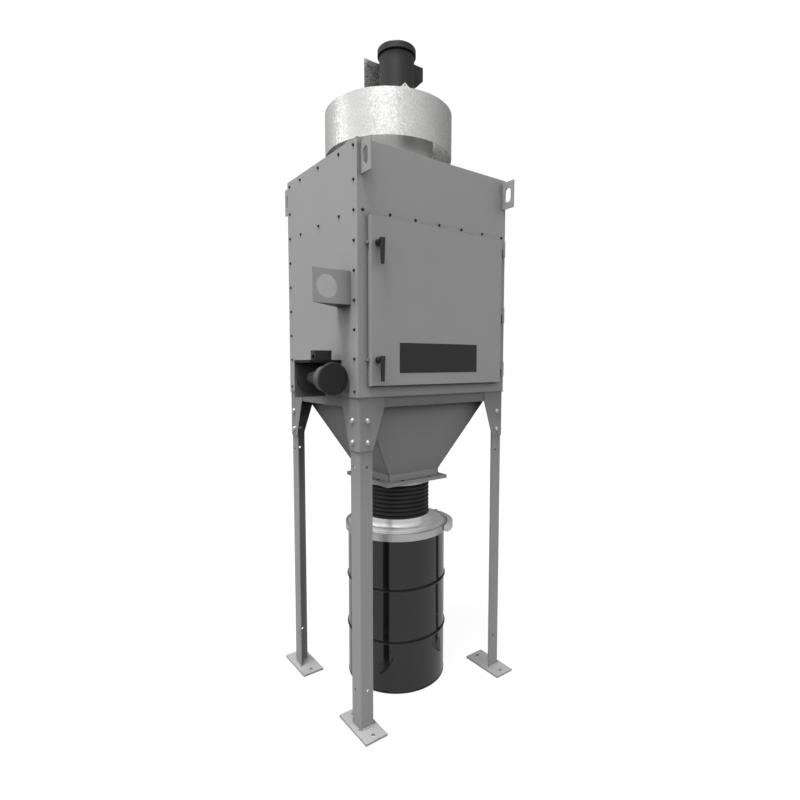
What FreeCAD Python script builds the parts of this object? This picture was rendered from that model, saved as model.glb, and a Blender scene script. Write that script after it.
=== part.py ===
import FreeCAD, Part
import math
import os

import Sketcher

# Shaker dust collector on four legs, with a hopper, a flexible hose and a drum below it.
# Millimetres, +Z up. The origin is on the floor under the middle of the housing,
# the door faces -Y and +X is to the right along the front.

SIZES = {
    # Housing of folded sheet
    "housing_width": 990,
    "housing_depth": 762,
    "housing_bottom": 1674,
    "housing_height": 1193,
    "panel_thickness": 3,
    "roof_thickness": 3,
    # Door and the frame behind it
    "door_margin": 54,
    "door_rise": 53,
    "door_head": 338,
    "door_thickness": 25,
    "door_skin": 2,
    "door_edge_radius": 3,
    "door_gap": 5,
    "door_overlap": 25,
    "frame_return": 35,
    "header_overlap": 2,
    "tube_sheet_rise": 13.5,
    "tube_sheet_thickness": 3,
    # Lift-off hinges
    "hinge_offset_x": 26,
    "hinge_setback": 12,
    "hinge_radius": 9,
    "hinge_pin_radius": 5,
    "hinge_clearance": 0.3,
    "hinge_length": 84,
    "hinge_leaf_thickness": 4,
    "hinge_lower": 74,
    "hinge_middle_drop": 19,
    "hinge_upper": 50,
    # Lever latches
    "latch_inset": 41,
    "latch_lower": 125,
    "latch_upper": 131,
    "latch_hub_radius": 17,
    "latch_standoff": 32,
    "latch_lever_thickness": 13,
    "latch_lever_length": 102,
    "latch_lever_head": 18,
    "latch_lever_root": 24,
    "latch_lever_tip": 14,
    "latch_lever_edge": 3,
    "latch_clearance": 0.3,
    "keeper_width": 8,
    "keeper_height": 12,
    "keeper_depth": 16,
    "keeper_gap": 3,
    # Base frame between the housing and the hopper
    "base_flange_thickness": 4,
    "base_flange_reach": 3,
    "band_height": 50,
    "band_thickness": 4,
    # Legs, brackets and foot plates
    "leg_width": 76,
    "leg_thickness": 6,
    "leg_corner_radius": 10,
    "leg_inner_radius": 5,
    "leg_hole_inset": 45,
    "leg_hole_diameter": 14,
    "leg_hole_lower": 205,
    "leg_hole_upper": 1333,
    "bracket_thickness": 5,
    "bracket_width": 150,
    "bracket_height": 257,
    "bracket_straight": 48,
    "bracket_clearance": 0.7,
    "foot_width": 126,
    "foot_length": 258,
    "foot_thickness": 12,
    "anchor_spacing": 190,
    "anchor_diameter": 20,
    # Hopper and its outlet
    "hopper_height": 448,
    "hopper_inset": 54,
    "hopper_wall": 3,
    "throat_width": 350,
    "throat_height": 37,
    "flange_width": 425,
    "flange_thickness": 10,
    "hose_plate_thickness": 10,
    # Hose between the hopper and the drum
    "hose_bore": 186,
    "hose_valley": 189.5,
    "hose_crest": 194,
    "hose_rib_count": 8,
    "hose_rib_foot": 18,
    "hose_rib_crest": 9,
    "hose_clearance": 0.3,
    "clamp_band_height": 13,
    "clamp_band_thickness": 4.7,
    "spigot_height": 55,
    "spigot_flare": 36,
    "spigot_flare_radius": 30,
    "spigot_foot": 3,
    # Drum, lid and clamp ring
    "drum_radius": 286,
    "drum_height": 903,
    "drum_wall": 2,
    "drum_floor_rise": 12,
    "drum_floor_thickness": 3,
    "chime_width": 2,
    "chime_height": 10,
    "curl_width": 6.5,
    "curl_height": 9,
    "hoop_height": 7,
    "hoop_foot": 20,
    "hoop_crest": 8,
    "hoop_first": 296,
    "hoop_spacing": 296,
    "hoop_count": 2,
    "lid_radius": 296,
    "lid_thickness": 3,
    "lid_skirt": 31,
    "ring_clearance": 0.3,
    "ring_thickness": 4,
    "ring_lip": 10,
    "ring_lip_thickness": 3,
    # Closing lever of the clamp ring
    "lever_pivot_radius": 311,
    "lever_pin_radius": 3,
    "lever_clearance": 0.3,
    "lever_height": 32,
    "lever_width": 12,
    "lever_disc_radius": 262,
    "lever_disc_offset": 75,
    "lever_swell_angle": 40,
    "lever_span_angle": 62,
    "lever_gap": 5,
    "lever_lug_width": 16,
    "lever_lug_thickness": 3,
    # Lifting ears
    "ear_inset": 24,
    "ear_thickness": 6,
    "ear_reach": 83,
    "ear_height": 148,
    "ear_drop": 17,
    "ear_slot_width": 40,
    "ear_slot_height": 78,
    # Gauge bracket on the left side
    "gauge_width": 200,
    "gauge_height": 157,
    "gauge_depth": 134,
    "gauge_sheet": 3,
    "gauge_setback": 61,
    "gauge_bottom": 439,
    "gauge_hole_radius": 54,
    "gauge_hole_inset": 126,
    # Shaker drive on the left side
    "hood_width": 174,
    "hood_depth": 170,
    "hood_height": 187,
    "hood_bottom": -9,
    "hood_back": 55,
    "hood_lip": 13,
    "hood_sheet": 5,
    "shaker_offset": 88,
    "shaker_rise": 88,
    "shaker_flange_radius": 74,
    "shaker_flange_length": 12,
    "shaker_neck_radius": 28,
    "shaker_bell_radius": 44,
    "shaker_bell_length": 139,
    "shaker_body_radius": 62,
    "shaker_body_length": 79,
    "shaker_cover_radius": 78,
    "shaker_cover_length": 18,
    "shaker_cover_edge": 4,
    "shaker_box_width": 90,
    "shaker_box_depth": 45,
    "shaker_box_height": 46,
    "shaker_box_inset_x": 36,
    "shaker_box_inset_y": 12,
    "conduit_hole_radius": 11,
    "conduit_hole_setback": 19,
    "conduit_hole_rise": 15,
    "conduit_hole_depth": 20,
    # Fan, silencer and fan motor on the roof
    "silencer_x": -52,
    "silencer_gap": 100,
    "silencer_height": 231,
    "silencer_radius": 353,
    "silencer_wall": 3,
    "deck_thickness": 4,
    "deck_clearance": 0.3,
    "deck_arm_root": 125,
    "fan_housing_radius": 250,
    "fan_housing_wall": 3,
    "fan_inlet_radius": 140,
    "lug_width": 56,
    "lug_height": 28,
    "lug_hole_radius": 3.5,
    "lug_hole_rise": 14,
    "lug_thickness": 3,
    "lug_inset": 8,
    "lug_turn_angle": -21,
    "motor_x": 5,
    "motor_radius": 99,
    "motor_height": 386,
    "motor_foot_radius": 112,
    "motor_foot_height": 12,
    "motor_cap_radius": 108,
    "motor_cap_height": 36,
    "motor_cap_edge": 6,
    "motor_box_clearance": 0.3,
    "motor_groove_depth": 6,
    "motor_groove_height": 9,
    "motor_box_reach": 55,
    "motor_box_width": 90,
    "motor_box_bottom": 209,
    "motor_box_height": 116,
    "motor_box_chamfer": 43,
    "mount_plate_left": 144,
    "mount_plate_right": 70,
    "mount_plate_height": 354,
    "mount_plate_thickness": 5,
}

# Places worked out from the driving sizes, as expressions of the sheet.
HALF_WIDTH = "sizes.housing_width / 2"
HALF_DEPTH = "sizes.housing_depth / 2"
FLOOR = "sizes.housing_bottom"
ROOF_TOP = "(sizes.housing_bottom + sizes.housing_height)"
WALL_TOP = "(sizes.housing_bottom + sizes.housing_height - sizes.roof_thickness)"
DOOR_BOTTOM = "(sizes.housing_bottom + sizes.door_rise)"
DOOR_HEIGHT = "(sizes.housing_height - sizes.door_rise - sizes.door_head)"
DOOR_TOP = "(%s + %s)" % (DOOR_BOTTOM, DOOR_HEIGHT)
HALF_DOOR = "(sizes.housing_width / 2 - sizes.door_margin)"
DOOR_BACK = "(sizes.housing_depth / 2 + sizes.door_gap)"
DOOR_FRONT = "(sizes.housing_depth / 2 + sizes.door_gap + sizes.door_thickness)"
FRAME_TOP = "(%s + sizes.header_overlap)" % DOOR_TOP
BAND_TOP = "(sizes.housing_bottom - sizes.base_flange_thickness)"
BAND_BOTTOM = "(sizes.housing_bottom - sizes.base_flange_thickness - sizes.band_height)"
HOPPER_BOTTOM = "(%s - sizes.hopper_height)" % BAND_TOP
HOPPER_X = "(sizes.housing_width / 2 - sizes.hopper_inset)"
HOPPER_Y = "(sizes.housing_depth / 2 - sizes.hopper_inset)"
THROAT_BOTTOM = "(%s - sizes.throat_height)" % HOPPER_BOTTOM
HOSE_TOP = "(%s - sizes.flange_thickness - sizes.hose_plate_thickness)" % THROAT_BOTTOM
LID_TOP = "(sizes.drum_height + sizes.lid_thickness)"
HOSE_LENGTH = "(%s - %s)" % (HOSE_TOP, LID_TOP)
RING_OUTER = "(sizes.lid_radius + sizes.ring_clearance + sizes.ring_thickness)"
DECK_TOP = "(%s + sizes.silencer_gap + sizes.silencer_height)" % ROOF_TOP
HINGE_X = "(%s + sizes.hinge_offset_x)" % HALF_DOOR
HINGE_Y = "(%s - sizes.hinge_setback)" % DOOR_FRONT
LATCH_X = "(sizes.latch_inset - %s)" % HALF_DOOR
LATCHES = ("sizes.latch_lower", "(%s - sizes.latch_upper)" % DOOR_HEIGHT)
BAND_X = "%s - sizes.bracket_thickness" % HALF_WIDTH
BAND_Y = "%s - sizes.bracket_thickness" % HALF_DEPTH
HINGES = ("sizes.hinge_lower", "(%s / 2 - sizes.hinge_middle_drop)" % DOOR_HEIGHT,
          "(%s - sizes.hinge_upper)" % DOOR_HEIGHT)
HOOD_TOP = "(%s + sizes.hood_bottom + sizes.hood_height)" % FLOOR

# Each corner: name, side along X, side along Y and the turn that points both flanges inwards.
CORNERS = [
    ("front_left", -1, -1, 0),
    ("front_right", 1, -1, 90),
    ("back_right", 1, 1, 180),
    ("back_left", -1, 1, 270),
]
UP = FreeCAD.Vector(0, 0, 1)

doc = FreeCAD.newDocument("dust_collector")
sheet = doc.addObject("Spreadsheet::Sheet", "sizes")
for row, (alias, number) in enumerate(SIZES.items(), start=1):
    sheet.set("A%d" % row, alias)
    sheet.set("B%d" % row, str(number))
    sheet.setAlias("B%d" % row, alias)
doc.recompute()

parts = []


def value(owner, text):
    """Number that an expression of the sheet gives."""
    result = owner.evalExpression(text)
    return float(getattr(result, "Value", result))


def keep(part, name):
    """Counts a solid as a sub-part under the given name."""
    part.Label = name
    parts.append(part)


def new_body(name, kept=True):
    body = doc.addObject("PartDesign::Body", name)
    if kept:
        keep(body, name)
    return body


def origin_feature(body, role):
    return next(f for f in body.Origin.OriginFeatures if f.Role == role)


def sketch_on(body, name, role, offset="0"):
    """Empty sketch on an origin plane of the body, shifted along the plane's normal."""
    sketch = body.newObject("Sketcher::SketchObject", name)
    sketch.AttachmentSupport = (origin_feature(body, role), [""])
    sketch.MapMode = "FlatFace"
    sketch.setExpression("AttachmentOffset.Base.z", offset)
    return sketch


def bind_point(sketch, geometry, end, x_text, y_text):
    """Holds a point of the sketch at the place that two expressions give."""
    for kind, text in (("DistanceX", x_text), ("DistanceY", y_text)):
        rule = Sketcher.Constraint(kind, -1, 1, geometry, end, value(sketch, text))
        index = sketch.addConstraint(rule)
        sketch.setExpression("Constraints[%d]" % index, text)


def add_outline(sketch, corners):
    """Closed outline of straight edges through the corners."""
    points = [FreeCAD.Vector(value(sketch, x), value(sketch, y), 0) for x, y in corners]
    following = points[1:] + points[:1]
    edges = [Part.LineSegment(a, b) for a, b in zip(points, following)]
    lines = sketch.addGeometry(edges, False)
    joins = zip(lines, lines[1:] + lines[:1])
    sketch.addConstraint([Sketcher.Constraint("Coincident", a, 2, b, 1) for a, b in joins])
    for line, (x, y) in zip(lines, corners):
        bind_point(sketch, line, 1, x, y)


def add_rectangle(sketch, left, right, bottom, top):
    add_outline(sketch, [(left, bottom), (right, bottom), (right, top), (left, top)])


def add_centred_rectangle(sketch, half_x, half_y):
    add_rectangle(sketch, "-(%s)" % half_x, half_x, "-(%s)" % half_y, half_y)


def add_circle(sketch, x, y, radius):
    centre = FreeCAD.Vector(value(sketch, x), value(sketch, y), 0)
    up = FreeCAD.Vector(0, 0, 1)
    circle = sketch.addGeometry(Part.Circle(centre, up, value(sketch, radius)), False)
    bind_point(sketch, circle, 3, x, y)
    index = sketch.addConstraint(Sketcher.Constraint("Radius", circle, value(sketch, radius)))
    sketch.setExpression("Constraints[%d]" % index, radius)


def add_slot(sketch, x, low, high, radius):
    """Upright slot with round ends whose centres are at the heights low and high."""
    cx, y0, y1 = value(sketch, x), value(sketch, low), value(sketch, high)
    r = value(sketch, radius)
    up = FreeCAD.Vector(0, 0, 1)
    top = Part.ArcOfCircle(Part.Circle(FreeCAD.Vector(cx, y1, 0), up, r), 0, math.pi)
    end = Part.ArcOfCircle(Part.Circle(FreeCAD.Vector(cx, y0, 0), up, r), math.pi, 2 * math.pi)
    left = Part.LineSegment(FreeCAD.Vector(cx - r, y1, 0), FreeCAD.Vector(cx - r, y0, 0))
    right = Part.LineSegment(FreeCAD.Vector(cx + r, y0, 0), FreeCAD.Vector(cx + r, y1, 0))
    g = sketch.addGeometry([top, left, end, right], False)
    sketch.addConstraint([
        Sketcher.Constraint("Tangent", g[0], 2, g[1], 1),
        Sketcher.Constraint("Tangent", g[1], 2, g[2], 1),
        Sketcher.Constraint("Tangent", g[2], 2, g[3], 1),
        Sketcher.Constraint("Tangent", g[3], 2, g[0], 1),
        Sketcher.Constraint("Equal", g[0], g[2]),
    ])
    bind_point(sketch, g[0], 3, x, high)
    bind_point(sketch, g[2], 3, x, low)
    index = sketch.addConstraint(Sketcher.Constraint("Radius", g[0], r))
    sketch.setExpression("Constraints[%d]" % index, radius)


def pad(body, sketch, length, backwards=False):
    feature = body.newObject("PartDesign::Pad", sketch.Name + "_pad")
    feature.Profile = sketch
    feature.Reversed = backwards
    feature.setExpression("Length", length)
    return feature


def pocket(body, sketch, length, backwards=False):
    feature = body.newObject("PartDesign::Pocket", sketch.Name + "_pocket")
    feature.Profile = sketch
    feature.Reversed = backwards
    feature.setExpression("Length", length)
    return feature


def pocket_through(body, sketch):
    """Cut through the whole body on both sides of the sketch."""
    feature = body.newObject("PartDesign::Pocket", sketch.Name + "_pocket")
    feature.Profile = sketch
    feature.SideType = "Symmetric"
    feature.Type = "ThroughAll"
    return feature


def revolve(body, sketch):
    """Full turn about the sketch's upright axis."""
    feature = body.newObject("PartDesign::Revolution", sketch.Name + "_turn")
    feature.Profile = sketch
    feature.ReferenceAxis = (sketch, ["V_Axis"])
    feature.Angle = 360
    return feature


def quarter_turns(body, feature, name):
    """Four copies of a feature about the body's Z axis."""
    pattern = body.newObject("PartDesign::PolarPattern", name)
    pattern.Originals = [feature]
    pattern.Axis = (origin_feature(body, "Z_Axis"), [""])
    pattern.Angle = 360
    pattern.Occurrences = 4
    return pattern


def fillet(body, base, radius, chosen):
    """Rounds the edges of the base feature for which chosen(edge) is true."""
    doc.recompute()
    names = ["Edge%d" % (i + 1) for i, edge in enumerate(base.Shape.Edges) if chosen(edge)]
    feature = body.newObject("PartDesign::Fillet", base.Name + "_round")
    feature.Base = (base, names)
    feature.setExpression("Radius", radius)
    return feature


def is_upright(edge):
    """True for a straight edge along Z."""
    if edge.Curve.TypeId != "Part::GeomLine":
        return False
    return abs(edge.tangentAt(edge.FirstParameter).z) > 0.99


def upright_at(inset):
    """Test for the upright edge that lies the inset away from the origin on X and on Y."""
    def test(edge):
        centre = edge.CenterOfMass
        return is_upright(edge) and abs(centre.x - inset) < 0.01 and abs(centre.y - inset) < 0.01
    return test


def circle_at(radius, height):
    """Test for a circular edge of the given radius about Z at the given height."""
    def test(edge):
        if edge.Curve.TypeId != "Part::GeomCircle":
            return False
        same_radius = abs(edge.Curve.Radius - radius) < 0.01
        return same_radius and abs(edge.Curve.Center.z - height) < 0.01
    return test


def place(part, x="0", y="0", z="0", turn=None):
    """Puts a part at the place that three expressions give, turned about an axis if need be."""
    if turn:
        part.Placement = FreeCAD.Placement(FreeCAD.Vector(), FreeCAD.Rotation(*turn))
    for axis, text in (("x", x), ("y", y), ("z", z)):
        part.setExpression("Placement.Base." + axis, text)


def box(name, length, width, height, x, y, z):
    """Plain plate or block with one corner at x, y, z."""
    part = doc.addObject("Part::Box", name)
    part.setExpression("Length", length)
    part.setExpression("Width", width)
    part.setExpression("Height", height)
    place(part, x, y, z)
    keep(part, name)


def cylinder(name, radius, height, x="0", y="0", z="0", angle="360", turn=None):
    """Helper solid for a boolean, not a sub-part by itself."""
    part = doc.addObject("Part::Cylinder", name)
    part.setExpression("Radius", radius)
    part.setExpression("Height", height)
    part.setExpression("Angle", angle)
    place(part, x, y, z, turn)
    return part


def frustum(name, low_half, high_half_x, high_half_y, height):
    """Helper solid that widens upwards from a square to a rectangle, with four flat sides."""
    part = doc.addObject("Part::Wedge", name)
    sides = {"Xmin": "-(%s)" % low_half, "Xmax": low_half, "Zmin": "-(%s)" % low_half,
             "Zmax": low_half, "X2min": "-(%s)" % high_half_x, "X2max": high_half_x,
             "Z2min": "-(%s)" % high_half_y, "Z2max": high_half_y, "Ymin": "0 mm", "Ymax": height}
    for side, text in sides.items():
        part.setExpression(side, text)
    return part


def corner_expressions(side_x, side_y, inset):
    """Place of a corner of the housing, moved inwards by the inset on both axes."""
    x = "%d * (%s - %s)" % (side_x, HALF_WIDTH, inset)
    y = "%d * (%s - %s)" % (side_y, HALF_DEPTH, inset)
    return x, y


def make_foot_plate(name, side_x, side_y):
    body = new_body(name + "_foot_plate")
    sketch = sketch_on(body, name + "_foot_outline", "XY_Plane")
    add_rectangle(sketch, "-sizes.foot_width / 2", "sizes.foot_width / 2",
                  "-sizes.foot_length / 2", "sizes.foot_length / 2")
    for side in ("-", ""):
        add_circle(sketch, "0", side + "sizes.anchor_spacing / 2", "sizes.anchor_diameter / 2")
    pad(body, sketch, "sizes.foot_thickness")
    inset = "sizes.bracket_thickness - sizes.leg_width / 2"
    x, y = corner_expressions(side_x, side_y, inset)
    place(body, x, y)


def make_leg(name, side_x, side_y, angle):
    """Rolled angle with both flanges pointing inwards from its rounded outer corner."""
    body = new_body(name + "_leg")
    section = sketch_on(body, name + "_leg_section", "XY_Plane")
    width, thick = "sizes.leg_width", "sizes.leg_thickness"
    add_outline(section, [("0", "0"), (width, "0"), (width, thick), (thick, thick),
                          (thick, width), ("0", width)])
    length = "%s - sizes.foot_thickness" % BAND_BOTTOM
    bar = pad(body, section, length)
    outer = fillet(body, bar, "sizes.leg_corner_radius", upright_at(0))
    fillet(body, outer, "sizes.leg_inner_radius", upright_at(SIZES["leg_thickness"]))
    for role, tag in (("XZ_Plane", "front"), ("YZ_Plane", "side")):
        holes = sketch_on(body, "%s_leg_%s_holes" % (name, tag), role)
        for height in ("sizes.leg_hole_lower", "sizes.leg_hole_upper"):
            add_circle(holes, "sizes.leg_hole_inset", height + " - sizes.foot_thickness",
                       "sizes.leg_hole_diameter / 2")
        pocket_through(body, holes)
    x, y = corner_expressions(side_x, side_y, "sizes.bracket_thickness")
    place(body, x, y, "sizes.foot_thickness", (UP, angle))


def make_leg_bracket(name, side_x, side_y, angle):
    """Bent plate over the leg's corner, wide at the housing and tapering to the leg's width."""
    body = new_body(name + "_leg_bracket")
    taper = "sizes.bracket_height - sizes.bracket_straight"
    outline = [("0", "0"), ("sizes.leg_width + sizes.bracket_thickness", "0"),
               ("sizes.bracket_width", taper),
               ("sizes.bracket_width", "sizes.bracket_height"), ("0", "sizes.bracket_height")]
    front = sketch_on(body, name + "_bracket_front", "XZ_Plane")
    add_outline(front, outline)
    pad(body, front, "sizes.bracket_thickness", backwards=True)
    side = sketch_on(body, name + "_bracket_side", "YZ_Plane")
    add_outline(side, outline)
    bent = pad(body, side, "sizes.bracket_thickness")
    inside = fillet(body, bent, "sizes.leg_corner_radius - sizes.bracket_clearance",
                    upright_at(SIZES["bracket_thickness"]))
    fillet(body, inside, "sizes.leg_corner_radius + sizes.bracket_thickness", upright_at(0))
    x, y = corner_expressions(side_x, side_y, "0")
    place(body, x, y, "%s - sizes.bracket_height" % BAND_TOP, (UP, angle))


def make_base_frame():
    """Flange under the housing and an upright band below it, rounded at the legs."""
    body = new_body("base_frame")
    inner_x = BAND_X + " - sizes.band_thickness"
    inner_y = BAND_Y + " - sizes.band_thickness"
    band = sketch_on(body, "band_section", "XY_Plane")
    add_centred_rectangle(band, BAND_X, BAND_Y)
    add_centred_rectangle(band, inner_x, inner_y)
    upright_band = pad(body, band, "sizes.band_height")
    outer_y = value(body, BAND_Y)
    fillet(body, upright_band, "sizes.leg_corner_radius",
           lambda e: is_upright(e) and abs(abs(e.CenterOfMass.y) - outer_y) < 0.01)
    flange = sketch_on(body, "base_flange", "XY_Plane", "sizes.band_height")
    add_centred_rectangle(flange, HALF_WIDTH + " + sizes.base_flange_reach",
                          HALF_DEPTH + " + sizes.base_flange_reach")
    add_centred_rectangle(flange, HOPPER_X + " - sizes.hopper_wall",
                          HOPPER_Y + " - sizes.hopper_wall")
    pad(body, flange, "sizes.base_flange_thickness")
    place(body, z=BAND_BOTTOM)


def make_hopper():
    """Four sloping sides welded to one square collar."""
    collar = new_body("hopper_collar", kept=False)
    half = "sizes.throat_width / 2"
    wall = " - sizes.hopper_wall"
    throat = sketch_on(collar, "throat_section", "XY_Plane")
    add_centred_rectangle(throat, half, half)
    add_centred_rectangle(throat, half + wall, half + wall)
    pad(collar, throat, "sizes.throat_height")
    outside = frustum("hopper_outside", half, HOPPER_X, HOPPER_Y, "sizes.hopper_height")
    inside = frustum("hopper_inside", half + wall, HOPPER_X + wall, HOPPER_Y + wall,
                     "sizes.hopper_height")
    for solid in (outside, inside):
        place(solid, z="sizes.throat_height", turn=(FreeCAD.Vector(1, 0, 0), 90))
    sides = doc.addObject("Part::Cut", "hopper_sides")
    sides.Base = outside
    sides.Tool = inside
    hopper = doc.addObject("Part::Fuse", "hopper")
    hopper.Base = sides
    hopper.Tool = collar
    keep(hopper, "hopper")
    place(hopper, z=THROAT_BOTTOM)


def make_flange_plates():
    """Square plate under the hopper and the plate with the round outlet bolted to it."""
    upper = new_body("hopper_flange")
    outline = sketch_on(upper, "hopper_flange_outline", "XY_Plane")
    add_centred_rectangle(outline, "sizes.flange_width / 2", "sizes.flange_width / 2")
    add_centred_rectangle(outline, "sizes.throat_width / 2 - sizes.hopper_wall",
                          "sizes.throat_width / 2 - sizes.hopper_wall")
    pad(upper, outline, "sizes.flange_thickness")
    place(upper, z="%s - sizes.flange_thickness" % THROAT_BOTTOM)
    lower = new_body("outlet_plate")
    outlet = sketch_on(lower, "outlet_plate_outline", "XY_Plane")
    add_centred_rectangle(outlet, "sizes.flange_width / 2", "sizes.flange_width / 2")
    add_circle(outlet, "0", "0", "sizes.hose_bore")
    pad(lower, outlet, "sizes.hose_plate_thickness")
    place(lower, z=HOSE_TOP)


def make_hose():
    """Corrugated hose: a plain cuff at each end and evenly spaced ribs between them."""
    body = new_body("flexible_hose")
    bore, valley, crest = "sizes.hose_bore", "sizes.hose_valley", "sizes.hose_crest"
    upper_cuff = "%s - sizes.clamp_band_height" % HOSE_LENGTH
    tube = sketch_on(body, "hose_section", "XZ_Plane")
    add_outline(tube, [(bore, "0"), (crest, "0"), (crest, "sizes.spigot_height"),
                       (valley, "sizes.spigot_height"), (valley, upper_cuff), (crest, upper_cuff),
                       (crest, HOSE_LENGTH), (bore, HOSE_LENGTH)])
    revolve(body, tube)
    pitch = "((%s - sizes.spigot_height) / sizes.hose_rib_count)" % upper_cuff
    middle = "sizes.spigot_height + %s / 2" % pitch
    root = "(sizes.hose_bore + sizes.hose_valley) / 2"
    rib = sketch_on(body, "hose_rib_section", "XZ_Plane")
    add_outline(rib, [(root, middle + " - sizes.hose_rib_foot / 2"),
                      (crest, middle + " - sizes.hose_rib_crest / 2"),
                      (crest, middle + " + sizes.hose_rib_crest / 2"),
                      (root, middle + " + sizes.hose_rib_foot / 2")])
    ring = revolve(body, rib)
    ribs = body.newObject("PartDesign::LinearPattern", "hose_ribs")
    ribs.Originals = [ring]
    ribs.Direction = (origin_feature(body, "Z_Axis"), [""])
    ribs.Mode = "Spacing"
    ribs.setExpression("Offset", pitch)
    ribs.setExpression("Occurrences", "sizes.hose_rib_count")
    body.Tip = ribs
    place(body, z=LID_TOP)


def make_clamp_band():
    """Band that holds the top of the hose under the outlet plate."""
    body = new_body("hose_clamp_band")
    inner = "sizes.hose_crest + sizes.hose_clearance"
    section = sketch_on(body, "clamp_band_section", "XY_Plane")
    add_circle(section, "0", "0", inner + " + sizes.clamp_band_thickness")
    add_circle(section, "0", "0", inner)
    pad(body, section, "sizes.clamp_band_height")
    place(body, z="%s - sizes.clamp_band_height" % HOSE_TOP)


def make_lid_spigot():
    """Collar on the lid, flared out at its foot."""
    body = new_body("lid_spigot")
    inner = "sizes.hose_crest + sizes.hose_clearance"
    outer = inner + " + sizes.clamp_band_thickness"
    foot = outer + " + sizes.spigot_flare"
    section = sketch_on(body, "spigot_section", "XZ_Plane")
    add_outline(section, [(inner, "0"), (foot, "0"), (foot, "sizes.spigot_foot"),
                          (outer, "sizes.spigot_foot"), (outer, "sizes.spigot_height"),
                          (inner, "sizes.spigot_height")])
    turned = revolve(body, section)
    fillet(body, turned, "sizes.spigot_flare_radius",
           circle_at(value(body, outer), SIZES["spigot_foot"]))
    place(body, z=LID_TOP)


def make_lid():
    """Flat lid with a skirt over the drum's rim and an opening for the hose."""
    body = new_body("drum_lid")
    edge = "sizes.lid_radius"
    inside = "sizes.lid_radius - sizes.lid_thickness"
    section = sketch_on(body, "lid_section", "XZ_Plane")
    add_outline(section, [("sizes.hose_bore", "0"), (inside, "0"), (inside, "-sizes.lid_skirt"),
                          (edge, "-sizes.lid_skirt"), (edge, "sizes.lid_thickness"),
                          ("sizes.hose_bore", "sizes.lid_thickness")])
    revolve(body, section)
    place(body, z="sizes.drum_height")


def make_clamp_ring():
    """Channel section ring round the lid, with the two lugs and the pin of its lever."""
    body = new_body("lid_clamp_ring")
    inner = "sizes.lid_radius + sizes.ring_clearance"
    lip = "sizes.lid_radius - sizes.ring_lip"
    lower_lip = "sizes.drum_radius + sizes.ring_clearance"
    top = "sizes.lid_thickness"
    low = "-sizes.lid_skirt - sizes.ring_clearance"
    top_face = top + " + sizes.ring_lip_thickness"
    low_face = low + " - sizes.ring_lip_thickness"
    section = sketch_on(body, "clamp_ring_section", "XZ_Plane")
    add_outline(section, [(lip, top), (inner, top), (inner, low), (lower_lip, low),
                          (lower_lip, low_face), (RING_OUTER, low_face), (RING_OUTER, top_face),
                          (lip, top_face)])
    revolve(body, section)
    half = "sizes.lever_lug_width / 2"
    root = "sizes.lid_radius + sizes.ring_clearance + sizes.ring_thickness / 2"
    tip = "sizes.lever_pivot_radius + sizes.lever_lug_width / 2"
    lever_low = "sizes.lid_thickness - sizes.lever_height"
    levels = (("upper", "sizes.lid_thickness + sizes.lever_clearance", False),
              ("lower", lever_low + " - sizes.lever_clearance", True))
    for tag, level, downwards in levels:
        lug = sketch_on(body, "clamp_lug_" + tag, "XY_Plane", level)
        add_rectangle(lug, root, tip, "-" + half, half)
        pad(body, lug, "sizes.lever_lug_thickness", backwards=downwards)
    pin = sketch_on(body, "clamp_pin", "XY_Plane", "sizes.lid_thickness + sizes.lever_clearance")
    add_circle(pin, "sizes.lever_pivot_radius", "0", "sizes.lever_pin_radius")
    pad(body, pin, "sizes.lever_height + 2 * sizes.lever_clearance", backwards=True)
    place(body, z="sizes.drum_height")


def make_clamp_lever():
    """Crescent lever along the clamp ring: an offset disc less the ring's circle, cut to a sector."""
    height = "sizes.lever_height"
    swell = "sizes.lever_swell_angle"
    disc = cylinder("lever_disc", "sizes.lever_disc_radius", height,
                    "sizes.lever_disc_offset * cos(%s)" % swell,
                    "-sizes.lever_disc_offset * sin(%s)" % swell)
    reach = "sizes.lever_disc_radius + sizes.lever_disc_offset"
    sector = cylinder("lever_sector", reach, height, angle="sizes.lever_span_angle",
                      turn=(UP, -SIZES["lever_span_angle"]))
    blade = doc.addObject("Part::MultiCommon", "lever_blade")
    blade.Shapes = [disc, sector]
    boss = cylinder("lever_boss", "sizes.lever_width / 2", height, "sizes.lever_pivot_radius")
    joined = doc.addObject("Part::Fuse", "lever_joined")
    joined.Base = blade
    joined.Tool = boss
    ring_space = cylinder("lever_ring_space", RING_OUTER + " + sizes.lever_gap", height)
    bore = cylinder("lever_bore", "sizes.lever_pin_radius + sizes.lever_clearance", height,
                    "sizes.lever_pivot_radius")
    curved = doc.addObject("Part::Cut", "lever_curved")
    curved.Base = joined
    curved.Tool = ring_space
    lever = doc.addObject("Part::Cut", "lid_clamp_lever")
    lever.Base = curved
    lever.Tool = bore
    keep(lever, "lid_clamp_lever")
    place(lever, z="%s - sizes.lever_height" % LID_TOP)


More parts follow.
